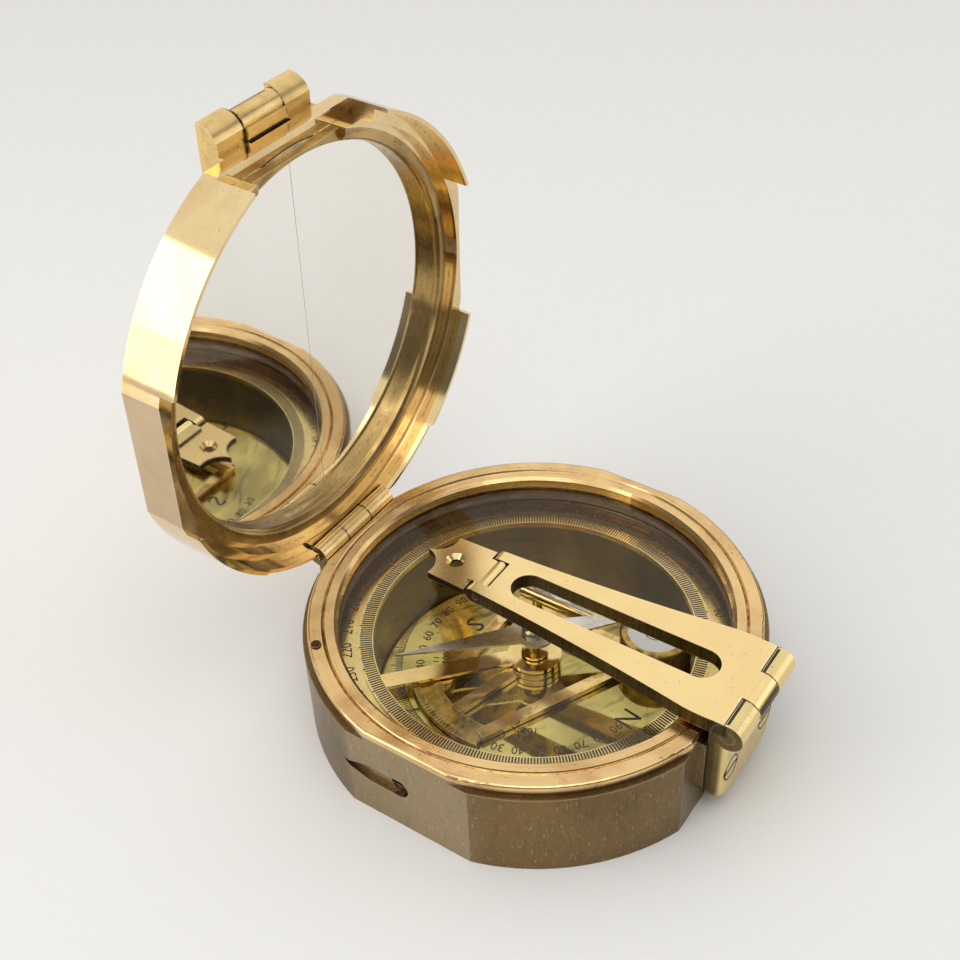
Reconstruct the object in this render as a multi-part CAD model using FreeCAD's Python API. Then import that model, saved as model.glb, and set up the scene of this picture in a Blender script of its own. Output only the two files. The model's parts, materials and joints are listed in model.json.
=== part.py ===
"""Pocket transit inclinometer: a brass case with a compass, clinometer, folding sight and mirror lid.

Millimetres, +Z up.  The origin is the centre of the case's underside.  The sight arm is hinged at
-Y and the mirror lid at +Y.  The lid is drawn closed and then swung open to its rest pose.
"""
import FreeCAD
import Part
import math
import os

Vector = FreeCAD.Vector
X_AXIS = Vector(1, 0, 0)
Y_AXIS = Vector(0, 1, 0)
Z_AXIS = Vector(0, 0, 1)

# ---------------------------------------------------------------- driving dimensions
# Case plan: one circle round the cavity, trimmed by four flats.
CAVITY_R = 31.5
RIM_WALL = 3.25
SHOULDER_WIDTH = 0.8
SIDE_FLAT_CUT = 1.55
SIGHT_FLAT_CUT = 2.69
HINGE_FLAT_CUT = 1.65

# Case body
FLOOR = 3.5
SHOULDER_Z = 15.3
WALL_TOP = 16.1
UNDER_RECESS_R = 12.5
UNDER_RECESS = 1.8

# Bezel ring and window
BEZEL_TOP = 17.1
BEZEL_EDGE_ROUND = 0.45
BEZEL_GROOVE_OUT = 0.8
BEZEL_GROOVE_WIDTH = 0.6
BEZEL_GROOVE_DEPTH = 0.4
BEZEL_CHAMFER = 0.45
SPIGOT_BOTTOM = 12.9
SPIGOT_WALL = 0.6
GLASS_LAP = 0.5
GLASS_TOP = 15.2
GLASS_THICK = 1.2
NOTCH_HALF = 7.8
NOTCH_REACH = 2.56
NOTCH_DEPTH = 0.5

# Graduated circle, its support and its drive
DIAL_BAND = 6.44
TICK_RING_WIDTH = 2.3
TICK_RING_TOP = 11.7
NUMBER_RING_TOP = 11.3
NUMBER_RING_THICK = 0.6
SUPPORT_INSET = 0.34
SUPPORT_WIDTH = 2.2
PINION_TEETH = 8
GEAR_RATIO = 15
CROWN_INSET = 2.4
CROWN_FACE = 2.2
CROWN_TOOTH_HEIGHT = 0.9
CROWN_TIP_WIDTH = 0.35
CROWN_ROOT_WIDTH = 0.80
PINION_FACE = 2.0
PINION_ROOT_R = 1.39
PINION_TIP_R = 2.34
PINION_TIP_WIDTH = 0.40
PINION_ROOT_WIDTH = 0.86
DRIVE_Y = 1.6
DRIVE_HEAD_R = 1.65
DRIVE_HEAD = 1.3
DRIVE_SHAFT_R = 0.8
FINGER_RECESS = 0.8
FINGER_RECESS_HEIGHT = 3.4
FINGER_RECESS_TIP_Y = 12.0

# Clinometer
SCALE_PLATE_THICK = 1.0
PLATE_SCREW_R = 0.9
AXLE_R = 2.0
ARM_PLATE_THICK = 1.0
ARM_PLATE_LIFT = 0.2
ARM_HUB_R = 4.2
VERNIER_ROOM = 5.4
VERNIER_WIDTH = 4.2
VERNIER_ANGLE = 164.0
VERNIER_HALF_ANGLE = 22.0
VERNIER_LIP = 1.1
UPPER_BAR_Y = 9.1
BAR_WIDTH = 1.9
UNDER_LEVER_LENGTH = 11.0
UNDER_LEVER_WIDTH = 3.6
UNDER_LEVER_THICK = 1.4
UNDER_LEVER_INSET = 0.2
LONG_LEVEL_X = 9.6
LONG_LEVEL_Y0 = -6.4
LONG_LEVEL_LENGTH = 14.4
LONG_VIAL_R = 1.15
LONG_VIAL_WALL = 0.45
LONG_LEVEL_CAP = 1.0
LONG_LEVEL_POST_R = 0.9
LONG_LEVEL_POST_IN = 2.6
LONG_VIAL_Z = 8.85
ROUND_LEVEL_ANGLE = -55.3
ROUND_LEVEL_ROOM = 0.73
ROUND_LEVEL_R = 5.7
ROUND_GLASS_R = 4.45
ROUND_LEVEL_TOP = 10.4
ROUND_GLASS_DEPTH = 2.2
ROUND_GLASS_SUNK = 0.2
ROUND_LEVEL_EDGE = 0.4
PIVOT_R = 0.6
PIVOT_TIP_Z = 12.0

# Needle and its lift
NEEDLE_TIP_ROOM = 3.16
NEEDLE_HALF_WIDTH = 2.0
NEEDLE_HUB_R = 3.4
NEEDLE_Z = 10.9
NEEDLE_THICK = 0.4
NEEDLE_ANGLE = 135.0
CAP_R = 2.0
CAP_TOP = 13.0
CAP_BORE_R = 0.95
COLLAR_R = 2.1
COLLAR_BOTTOM = 6.8
COLLAR_HEIGHT = 4.0
LIFT_PIN_R = 0.8
LIFT_PIN_INSET = 1.15
LIFT_PIN_ANGLE = 136.4
LIFT_PIN_PROUD = 0.25
LIFT_PIN_HEAD_R = 1.1
LIFT_PIN_HEAD = 0.6
LEVER_Z = 6.0
LEVER_THICK = 0.6
LEVER_WIDTH = 2.7
LEVER_EYE_R = 4.2
LEVER_EYE_HOLE_R = 1.4
FULCRUM_R = 0.32
FULCRUM_BOSS_R = 0.65

# Sight arm, measured from its hinge line, and its lug
SIGHT_HINGE_OUT = 3.74
SIGHT_HINGE_Z = 17.8
SIGHT_BARREL_R = 2.35
SIGHT_PIN_R = 1.1
SIGHT_KNUCKLE_HALF = 2.9
ARM_TOP = 20.2
ARM_BOTTOM = 17.7
ARM_LENGTH = 46.0
ARM_FORK_HALF = 4.85
ARM_FORK_ROUND = 1.1
ARM_WAIST_AT = 23.9
ARM_WAIST_HALF = 6.6
ARM_HIP_AT = 7.1
ARM_HIP_HALF = 8.7
ARM_HEEL_HALF = 8.75
ARM_HEEL_BULGE = 0.1
ARM_HEEL_AT = 2.4
SLOT_HALF = 2.85
SLOT_END_AT = 40.3
SLOT_START_AT = 5.6
LUG_HALF = 8.7
LUG_THICK = 2.6
LUG_BOTTOM = 2.0
LUG_CORNER_R = 3.7
LUG_EDGE_ROUND = 1.6
PAD_THICK = 1.05
PAD_MARGIN = 0.4
PAD_BOTTOM = 2.8
LUG_SCREW_X = 5.6
LUG_SCREW_Z = 8.4
LUG_SCREW_R = 2.0

# Folding tip of the sight arm
TIP_PIN_BACK = 1.8
TIP_PIN_Z = 18.9
TIP_PIN_R = 0.5
TIP_TONGUE_HALF = 2.8
TIP_TONGUE_R = 1.2
TIP_PLATE_GAP = 0.35
TIP_PLATE_BOTTOM = 18.2
TIP_PLATE_THICK = 1.2
TIP_TONGUE_LAP = 0.6
TIP_SHOULDER_AT = 6.85
TIP_SHOULDER_HALF = 4.6
TIP_LENGTH = 9.85
TIP_HOLE_AT = 4.65
TIP_HOLE_R = 0.9
TIP_SINK_R = 1.6

# Lid hinge
LID_HINGE_OUT = 1.3
LID_HINGE_Z = 17.06
LID_BARREL_R = 1.9
LID_PIN_R = 0.9
LID_KNUCKLE_HALF = 2.9
LEAF_HALF = 8.9
LEAF_THICK = 1.2
LEAF_BOTTOM = 6.0
LID_LEAF_TOP = 24.0
LEAF_SCREW_X = 6.0
LEAF_SCREW_R = 1.1
LEAF_SCREW_HEAD = 0.3
LEAF_CORNER_R = 1.5
LID_PIN_PROUD = 0.8

# Lid, drawn closed
LID_OPEN_DEG = 88.53
LID_RIM_Z = 18.0
LID_BACK_Z = 24.6
LID_WALL = 2.35
RING_FACE_Z = 19.45
RING_STEP = 1.2
RING_WIDTH = 1.95
RING_ROUND = 1.2
MIRROR_Z = 22.1
MIRROR_THICK = 1.0
MIRROR_LAP = 0.95
EAR_THICK = 0.6
EAR_DROP = 2.4
EAR_END_Y = 12.0
EAR_HEEL_Y = 28.0
EAR_HEEL_DROP = 1.8
LID_GAP_HALF = 14.0
LID_GAP_REACH = 2.26
LID_GAP_Z = 22.2

# Folding peep sight on the lid's back, placed from the lid's sight-side edge
PEEP_PIN_OUT = 1.9
PEEP_PIN_UP = 3.05
PEEP_PIN_R = 0.6
PEEP_BASE_HALF = 9.6
PEEP_EYE_HALF = 4.1
PEEP_BASE_REACH = 9.0
PEEP_CHEEK_HEEL = 0.6
PEEP_CHEEK_BACK = 3.5
PEEP_CHEEK_HEIGHT = 4.5
PEEP_CHEEK_OVERHANG = 4.05
PEEP_CHEEK_STEP = 1.05
PEEP_STRAP = 0.4
PEEP_BARREL_R = 1.9
PEEP_LEAF_THICK = 1.2
PEEP_LEAF_SHOULDER = 1.0
PEEP_LEAF_LENGTH = 22.0
PEEP_LEAF_HALF = 7.5
PEEP_HOLE_R = 1.2
PEEP_HOLE_BACK = 16.5
PEEP_SLOT_HALF = 0.6
PEEP_SLOT_LENGTH = 5.0

# Clearances
RUNNING = 0.05
SLIDE_GAP = 0.10
KNUCKLE_GAP = 0.10
SWING_GAP = 0.15
RIM_GAP = 0.30
SCREW_SLOT = 0.5

# ---------------------------------------------------------------- sizes worked out from the above
BEZEL_CORNER_R = CAVITY_R + RIM_WALL
CASE_R = BEZEL_CORNER_R + SHOULDER_WIDTH
FLAT_X = CASE_R - SIDE_FLAT_CUT
SIGHT_FLAT_Y = SIGHT_FLAT_CUT - CASE_R
HINGE_FLAT_Y = CASE_R - HINGE_FLAT_CUT
BEZEL_GROOVE_R = CAVITY_R + BEZEL_GROOVE_OUT
GLASS_R = CAVITY_R - SPIGOT_WALL - 2 * SLIDE_GAP
BEZEL_LIP_R = GLASS_R - GLASS_LAP
BEZEL_SLOPE_R = BEZEL_LIP_R + BEZEL_CHAMFER
BEZEL_LIP_Z = BEZEL_TOP - BEZEL_CHAMFER
NOTCH_Y = SIGHT_FLAT_Y + NOTCH_REACH
GLASS_BOTTOM = GLASS_TOP - GLASS_THICK
TICK_RING_R = CAVITY_R - DIAL_BAND
SUPPORT_R = TICK_RING_R + SUPPORT_INSET
CROWN_PITCH_R = CAVITY_R - CROWN_INSET
VERNIER_R = SUPPORT_R - VERNIER_ROOM
ROUND_LEVEL_AT_R = SUPPORT_R - ROUND_LEVEL_R - ROUND_LEVEL_ROOM
ROUND_LEVEL_X = ROUND_LEVEL_AT_R * math.cos(math.radians(ROUND_LEVEL_ANGLE))
ROUND_LEVEL_Y = ROUND_LEVEL_AT_R * math.sin(math.radians(ROUND_LEVEL_ANGLE))
NEEDLE_LENGTH = 2 * (TICK_RING_R - NEEDLE_TIP_ROOM)
CIRCLE_UNDER = NUMBER_RING_TOP - NUMBER_RING_THICK
CROWN_TIP_Z = CIRCLE_UNDER - CROWN_TOOTH_HEIGHT
CROWN_TEETH = PINION_TEETH * GEAR_RATIO
PINION_PITCH_R = CROWN_PITCH_R / GEAR_RATIO
DRIVE_Z = CROWN_TIP_Z + 0.5 * CROWN_TOOTH_HEIGHT - PINION_PITCH_R
DRIVE_X = -math.sqrt(CROWN_PITCH_R ** 2 - DRIVE_Y ** 2)
PLATE_TOP = FLOOR + SCALE_PLATE_THICK
ARM_PLATE_Z = PLATE_TOP + ARM_PLATE_LIFT
ARM_PLATE_TOP = ARM_PLATE_Z + ARM_PLATE_THICK
FULCRUM_AT_R = SUPPORT_R + 0.5 * SUPPORT_WIDTH
SUPPORT_OUTER_R = SUPPORT_R + SUPPORT_WIDTH
LIFT_PIN_AT_R = BEZEL_CORNER_R - LIFT_PIN_INSET
SIGHT_HINGE_Y = SIGHT_FLAT_Y - SIGHT_HINGE_OUT
ARM_FORK_Y = SIGHT_HINGE_Y + ARM_LENGTH
ARM_WAIST_Y = SIGHT_HINGE_Y + ARM_WAIST_AT
ARM_HIP_Y = SIGHT_HINGE_Y + ARM_HIP_AT
ARM_HEEL_Y = SIGHT_HINGE_Y + ARM_HEEL_AT
SLOT_FAR_Y = SIGHT_HINGE_Y + SLOT_END_AT
SLOT_NEAR_Y = SIGHT_HINGE_Y + SLOT_START_AT
TIP_PIN_Y = ARM_FORK_Y - TIP_PIN_BACK
TIP_PLATE_Y = ARM_FORK_Y + TIP_PLATE_GAP
TIP_SHOULDER_Y = TIP_PLATE_Y + TIP_SHOULDER_AT
TIP_POINT_Y = TIP_PLATE_Y + TIP_LENGTH
TIP_HOLE_Y = TIP_PLATE_Y + TIP_HOLE_AT
LUG_INNER_Y = SIGHT_FLAT_Y - PAD_THICK
LUG_OUTER_Y = LUG_INNER_Y - LUG_THICK
LID_HINGE_Y = HINGE_FLAT_Y + LID_HINGE_OUT
LID_GAP_Y = SIGHT_FLAT_Y + LID_GAP_REACH
LEAF_OUTER_Y = HINGE_FLAT_Y + LEAF_THICK
LID_BOWL_R = CASE_R - LID_WALL
RING_OUTER_R = LID_BOWL_R - RING_STEP
RING_INNER_R = RING_OUTER_R - RING_WIDTH
MIRROR_R = RING_INNER_R + MIRROR_LAP


# ---------------------------------------------------------------- drawing helpers
def box(x0, x1, y0, y1, z0, z1):
    return Part.makeBox(x1 - x0, y1 - y0, z1 - z0, Vector(x0, y0, z0))


def cylinder(radius, start, axis, length):
    return Part.makeCylinder(radius, length, Vector(*start), axis)


def post(radius, z0, z1, x=0.0, y=0.0):
    """An upright round bar."""
    return cylinder(radius, (x, y, z0), Z_AXIS, z1 - z0)


def cross_bar(radius, x0, x1, y, z):
    """A round bar along X."""
    return cylinder(radius, (x0, y, z), X_AXIS, x1 - x0)


def ring(outer, inner, z0, z1):
    return post(outer, z0, z1).cut(post(inner, z0, z1))


def face_of(points):
    return Part.Face(Part.makePolygon(points + points[:1]))


def outline(to_space, start, *steps):
    """A face from a start point and steps: a point draws a line, a pair of points an arc."""
    edges = []
    here = to_space(*start)
    for step in steps:
        if isinstance(step[0], tuple):
            middle = to_space(*step[0])
            there = to_space(*step[1])
            edges.append(Part.Arc(here, middle, there).toShape())
        else:
            there = to_space(*step)
            edges.append(Part.LineSegment(here, there).toShape())
        here = there
    return Part.Face(Part.Wire(edges))


def flat_shape(z, thick, start, *steps):
    """An outline in plan, raised from z by thick."""
    return outline(lambda x, y: Vector(x, y, z), start, *steps).extrude(Vector(0, 0, thick))


def side_shape(x0, x1, start, *steps):
    """An outline in side view, given as (y, z), drawn out from x0 to x1."""
    return outline(lambda y, z: Vector(x0, y, z), start, *steps).extrude(Vector(x1 - x0, 0, 0))


def turned(points):
    """A solid of revolution about Z from points (radius, z)."""
    section = face_of([Vector(r, 0, z) for r, z in points])
    return section.revolve(Vector(0, 0, 0), Z_AXIS, 360)


def at_angle(shape, degrees):
    shape = shape.copy()
    shape.rotate(Vector(0, 0, 0), Z_AXIS, degrees)
    return shape


def polar(radius, degrees):
    return (radius * math.cos(math.radians(degrees)), radius * math.sin(math.radians(degrees)))


def both_sides(shape):
    """The shape and its mirror image across the plane x = 0."""
    return [shape, shape.mirror(Vector(0, 0, 0), X_AXIS)]


def joined(first, others):
    return first.fuse(others).removeSplitter()


def case_plan(z0, z1, radius=CASE_R):
    """The trimmed circle of the case, as a solid."""
    disc = post(radius, z0, z1)
    return disc.common(box(-FLAT_X, FLAT_X, SIGHT_FLAT_Y, HINGE_FLAT_Y, z0, z1))


def slotted_screw(radius, head, start, axis, shank_r, shank, slot_along):
    """A screw whose head top is at start; axis points from the head into the shank."""
    start = Vector(*start)
    body = Part.makeCylinder(radius, head, start, axis)
    if shank > 0:
        body = body.fuse(Part.makeCylinder(shank_r, shank, start + axis * head, axis))
    across = axis.cross(slot_along)
    corner = start - slot_along * (2 * radius) - across * (0.5 * SCREW_SLOT)
    slot = face_of([corner, corner + slot_along * (4 * radius),
                    corner + slot_along * (4 * radius) + across * SCREW_SLOT,
                    corner + across * SCREW_SLOT]).extrude(axis * (0.4 * head))
    return body.cut(slot).removeSplitter()


def lid_barrel_room():
    """The round clearance along the lid's hinge line."""
    half = LEAF_HALF + RIM_GAP
    return cross_bar(LID_BARREL_R + SWING_GAP, -half, half, LID_HINGE_Y, LID_HINGE_Z)


def opened(shape):
    """Swings a shape of the closed lid to the open rest pose."""
    shape = shape.copy()
    shape.rotate(Vector(0, LID_HINGE_Y, LID_HINGE_Z), X_AXIS, -LID_OPEN_DEG)
    return shape


# ---------------------------------------------------------------- case, bezel and window
def lift_pin_place():
    return polar(LIFT_PIN_AT_R, LIFT_PIN_ANGLE)


def lift_pin_bore(z0, z1):
    x, y = lift_pin_place()
    return post(LIFT_PIN_R + RUNNING, z0, z1, x, y)


def lever_pocket():
    """Room in the wall for the outer end of the lift lever and the pin's head."""
    reach = LIFT_PIN_AT_R + LIFT_PIN_HEAD_R
    half = 0.5 * LEVER_WIDTH + RIM_GAP
    top = LEVER_Z + LEVER_THICK + LIFT_PIN_HEAD_R
    pocket = box(CAVITY_R - 1, reach, -half, half, LEVER_Z - 2 * RIM_GAP, top)
    return at_angle(pocket, LIFT_PIN_ANGLE)


def finger_recess():
    """The shallow pointed recess that leads to the adjusting screw."""
    half = 0.5 * FINGER_RECESS_HEIGHT
    mid_y = 0.5 * (DRIVE_Y + FINGER_RECESS_TIP_Y)
    wall = Vector(-FLAT_X, 0, 0)

    def on_flat(y, z):
        return wall + Vector(0, y, z)

    shape = outline(on_flat, (DRIVE_Y, DRIVE_Z - half),
                    ((DRIVE_Y - half, DRIVE_Z), (DRIVE_Y, DRIVE_Z + half)),
                    (mid_y, DRIVE_Z + half),
                    (FINGER_RECESS_TIP_Y, DRIVE_Z),
                    (mid_y, DRIVE_Z - half),
                    (DRIVE_Y, DRIVE_Z - half))
    return shape.extrude(Vector(FINGER_RECESS, 0, 0))


def lug_face(half, low, y, thick, top):
    """The outline of the lug and of its pad from the front, drawn out from y towards the case."""
    r = LUG_CORNER_R
    bend = r * (1 - math.sqrt(0.5))
    shape = outline(lambda x, z: Vector(x, y, z), (-half, top), (-half, low + r),
                    ((-half + bend, low + bend), (-half + r, low)),
                    (half - r, low),
                    ((half - bend, low + bend), (half, low + r)),
                    (half, top), (-half, top))
    return shape.extrude(Vector(0, thick, 0))


def case_body():
    body = joined(case_plan(0, SHOULDER_Z), [case_plan(SHOULDER_Z, WALL_TOP, BEZEL_CORNER_R)])
    body = body.cut(post(CAVITY_R, FLOOR, WALL_TOP))
    body = body.cut(post(UNDER_RECESS_R, 0, UNDER_RECESS))
    body = body.cut(post(AXLE_R + RUNNING, 0, FLOOR))
    body = body.cut(lid_barrel_room())
    body = body.cut(lever_pocket())
    body = body.cut(lift_pin_bore(LEVER_Z, WALL_TOP))
    body = body.cut(finger_recess())
    body = body.cut(cross_bar(DRIVE_HEAD_R + RUNNING, -FLAT_X, -CAVITY_R + 1, DRIVE_Y, DRIVE_Z))
    pad = lug_face(LUG_HALF + PAD_MARGIN, PAD_BOTTOM, LUG_INNER_Y, PAD_THICK,
                   SHOULDER_Z - PAD_MARGIN)
    body = joined(body, [pad])
    for x in (-LUG_SCREW_X, LUG_SCREW_X):
        hole = cylinder(0.5 * LUG_SCREW_R, (x, LUG_INNER_Y, LUG_SCREW_Z), Y_AXIS, 2 * PAD_THICK)
        body = body.cut(hole)
    return body


def bezel_ring():
    """Ring with a polished top, a groove, a slope down to the window lip and a spigot below."""
    blank = case_plan(WALL_TOP, BEZEL_TOP, BEZEL_CORNER_R)
    rim = [e for e in blank.Edges if e.BoundBox.ZMin > BEZEL_TOP - 0.01]
    blank = blank.makeFillet(BEZEL_EDGE_ROUND, rim)
    spigot = post(CAVITY_R - SLIDE_GAP, SPIGOT_BOTTOM, WALL_TOP)
    opening = turned([(0, SPIGOT_BOTTOM), (GLASS_R + SLIDE_GAP, SPIGOT_BOTTOM),
                      (GLASS_R + SLIDE_GAP, GLASS_TOP), (BEZEL_LIP_R, GLASS_TOP),
                      (BEZEL_LIP_R, BEZEL_LIP_Z), (BEZEL_SLOPE_R, BEZEL_TOP), (0, BEZEL_TOP)])
    groove = turned([(BEZEL_GROOVE_R - 0.5 * BEZEL_GROOVE_WIDTH, BEZEL_TOP),
                     (BEZEL_GROOVE_R + 0.5 * BEZEL_GROOVE_WIDTH, BEZEL_TOP),
                     (BEZEL_GROOVE_R, BEZEL_TOP - BEZEL_GROOVE_DEPTH)])
    shape = joined(blank, [spigot]).cut(opening).cut(groove)
    shape = shape.cut(lid_barrel_room())
    shape = shape.cut(box(-NOTCH_HALF, NOTCH_HALF, SIGHT_FLAT_Y, NOTCH_Y,
                          BEZEL_TOP - NOTCH_DEPTH, BEZEL_TOP))
    return shape.cut(lift_pin_bore(WALL_TOP, BEZEL_TOP))


def window_glass():
    return post(GLASS_R, GLASS_BOTTOM, GLASS_TOP)


def glass_seal():
    return ring(GLASS_R + SLIDE_GAP, BEZEL_LIP_R, SPIGOT_BOTTOM, GLASS_BOTTOM)


# ---------------------------------------------------------------- graduated circle and its drive
def dial_support_ring():
    """Upright ring that the graduated circle turns on, gated for the lift lever."""
    shape = ring(SUPPORT_OUTER_R, SUPPORT_R, FLOOR, CIRCLE_UNDER)
    half = 0.5 * LEVER_WIDTH + RIM_GAP
    gate = box(SUPPORT_R - 1, SUPPORT_OUTER_R + 1, -half, half,
               LEVER_Z - 2 * RIM_GAP, LEVER_Z + LEVER_THICK + 2 * RIM_GAP)
    end = half + FULCRUM_R
    fulcrum = cylinder(FULCRUM_R, (FULCRUM_AT_R, -end, LEVER_Z + 0.5 * LEVER_THICK),
                       Y_AXIS, 2 * end)
    return joined(shape.cut(at_angle(gate, LIFT_PIN_ANGLE)), [at_angle(fulcrum, LIFT_PIN_ANGLE)])


def crown_tooth(degrees):
    tip = 0.5 * CROWN_TIP_WIDTH
    root = 0.5 * CROWN_ROOT_WIDTH
    inner = CROWN_PITCH_R - 0.5 * CROWN_FACE
    section = face_of([Vector(inner, -root, CIRCLE_UNDER), Vector(inner, -tip, CROWN_TIP_Z),
                       Vector(inner, tip, CROWN_TIP_Z), Vector(inner, root, CIRCLE_UNDER)])
    return at_angle(section.extrude(Vector(CROWN_FACE, 0, 0)), degrees)


def graduated_circle():
    """Raised tick ring inside a lower number ring, with crown teeth under the number ring."""
    step_r = TICK_RING_R + TICK_RING_WIDTH
    body = turned([(TICK_RING_R, CIRCLE_UNDER), (CAVITY_R - RIM_GAP, CIRCLE_UNDER),
                   (CAVITY_R - RIM_GAP, NUMBER_RING_TOP), (step_r, NUMBER_RING_TOP),
                   (step_r, TICK_RING_TOP), (TICK_RING_R, TICK_RING_TOP)])
    pitch = 360.0 / CROWN_TEETH
    first = math.degrees(math.atan2(DRIVE_Y, DRIVE_X)) + 0.5 * pitch
    return joined(body, [crown_tooth(first + i * pitch) for i in range(CROWN_TEETH)])


def adjusting_screw():
    """Slotted screw in the side wall with the pinion that turns the graduated circle."""
    face_x = -FLAT_X + FINGER_RECESS
    shoulder_x = face_x + DRIVE_HEAD
    pinion_x = DRIVE_X - 0.5 * PINION_FACE
    screw = slotted_screw(DRIVE_HEAD_R, DRIVE_HEAD, (face_x, DRIVE_Y, DRIVE_Z), X_AXIS,
                          DRIVE_SHAFT_R, pinion_x - shoulder_x, Y_AXIS)
    pinion = cross_bar(PINION_ROOT_R, pinion_x, pinion_x + PINION_FACE, DRIVE_Y, DRIVE_Z)
    tip = 0.5 * PINION_TIP_WIDTH
    root = 0.5 * PINION_ROOT_WIDTH
    low = PINION_ROOT_R - 0.3
    teeth = []
    for i in range(PINION_TEETH):
        tooth = face_of([Vector(pinion_x, DRIVE_Y - root, DRIVE_Z + low),
                         Vector(pinion_x, DRIVE_Y + root, DRIVE_Z + low),
                         Vector(pinion_x, DRIVE_Y + tip, DRIVE_Z + PINION_TIP_R),
                         Vector(pinion_x, DRIVE_Y - tip, DRIVE_Z + PINION_TIP_R)])
        tooth = tooth.extrude(Vector(PINION_FACE, 0, 0))
        tooth.rotate(Vector(0, DRIVE_Y, DRIVE_Z), X_AXIS, i * 360.0 / PINION_TEETH)
        teeth.append(tooth)
    return joined(screw, [pinion] + teeth)


# ---------------------------------------------------------------- clinometer
def plate_screw_places():
    """Three places near the plate's edge."""
    return [polar(SUPPORT_R - 2 * PLATE_SCREW_R, 75 + 120 * i) for i in range(3)]


def scale_plate():
    plate = ring(SUPPORT_R, AXLE_R + RUNNING, FLOOR, PLATE_TOP)
    for x, y in plate_screw_places():
        plate = plate.cut(post(PLATE_SCREW_R, FLOOR, PLATE_TOP, x, y))
    return plate


def scale_plate_screws():
    """Slotted heads that fill the plate's holes, flush with its top."""
    return Part.makeCompound([slotted_screw(PLATE_SCREW_R, SCALE_PLATE_THICK, (x, y, PLATE_TOP),
                                            -Z_AXIS, PLATE_SCREW_R, 0, Y_AXIS)
                              for x, y in plate_screw_places()])


def clinometer_axle():
    """Axle through the floor: the lever is fixed below it and the vernier arm above."""
    bottom = UNDER_LEVER_INSET
    return post(AXLE_R, bottom, ARM_PLATE_TOP).cut(post(PIVOT_R, ARM_PLATE_Z, ARM_PLATE_TOP))


def clinometer_lever():
    """Flat finger lever in the recess under the case."""
    top = UNDER_LEVER_INSET + UNDER_LEVER_THICK
    half = 0.5 * UNDER_LEVER_WIDTH
    hub = post(ARM_HUB_R, UNDER_LEVER_INSET, top)
    end = UNDER_LEVER_LENGTH - half
    arm = flat_shape(UNDER_LEVER_INSET, UNDER_LEVER_THICK, (0, half), (-end, half),
                     ((-UNDER_LEVER_LENGTH, 0), (-end, -half)), (0, -half), (0, half))
    return joined(hub, [arm]).cut(post(AXLE_R, UNDER_LEVER_INSET, top))


def spring_washer():
    return ring(ARM_HUB_R, AXLE_R + RUNNING, PLATE_TOP, ARM_PLATE_Z)


def bar(x0, y0, x1, y1, width, z, thick):
    """A straight flat bar between two points in plan."""
    along = Vector(x1 - x0, y1 - y0, 0)
    side = Vector(y0 - y1, x1 - x0, 0) * (0.5 * width / along.Length)
    start = Vector(x0, y0, z)
    corners = [start + side, start - side, start - side + along, start + side + along]
    return face_of(corners).extrude(Vector(0, 0, thick))


def sector(outer, inner, middle, half_angle, z0, z1):
    """Part of a ring, centred on the angle middle."""
    shape = ring(outer, inner, z0, z1)
    reach = 2 * outer
    x0, y0 = polar(reach, middle - half_angle)
    x1, y1 = polar(reach, middle + half_angle)
    wedge = face_of([Vector(0, 0, z0), Vector(x0, y0, z0), Vector(x1, y1, z0)])
    return shape.common(wedge.extrude(Vector(0, 0, z1 - z0)))


def vernier_arm():
    """Open frame that carries the curved vernier at one end and both levels at the other."""
    z = ARM_PLATE_Z
    t = ARM_PLATE_THICK
    inner = VERNIER_R - VERNIER_WIDTH
    mid_r = VERNIER_R - 0.5 * VERNIER_WIDTH
    scale = sector(VERNIER_R, inner, VERNIER_ANGLE, VERNIER_HALF_ANGLE, z, z + t)
    scale = scale.cut(ring(VERNIER_R - VERNIER_LIP, inner, z + 0.6 * t, z + t))
    upper_x, _ = polar(mid_r, VERNIER_ANGLE - VERNIER_HALF_ANGLE)
    lower_x, lower_y = polar(mid_r, VERNIER_ANGLE + VERNIER_HALF_ANGLE - 2)
    stem_x, stem_y = polar(inner + 0.5, VERNIER_ANGLE)
    parts = [
        scale,
        bar(upper_x, UPPER_BAR_Y, LONG_LEVEL_X, UPPER_BAR_Y, BAR_WIDTH, z, t),
        bar(lower_x, lower_y, ROUND_LEVEL_X, ROUND_LEVEL_Y, BAR_WIDTH, z, t),
        bar(LONG_LEVEL_X, UPPER_BAR_Y, LONG_LEVEL_X, ROUND_LEVEL_Y, BAR_WIDTH, z, t),
        bar(stem_x, stem_y, 0, 0, BAR_WIDTH, z, t),
        bar(0, 0, LONG_LEVEL_X, 0, BAR_WIDTH, z, t),
        post(ROUND_LEVEL_R - 1, z, z + t, ROUND_LEVEL_X, ROUND_LEVEL_Y),
    ]
    hub = post(ARM_HUB_R, z, z + t)
    return joined(hub, parts).cut(post(AXLE_R, z, z + t))


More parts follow.
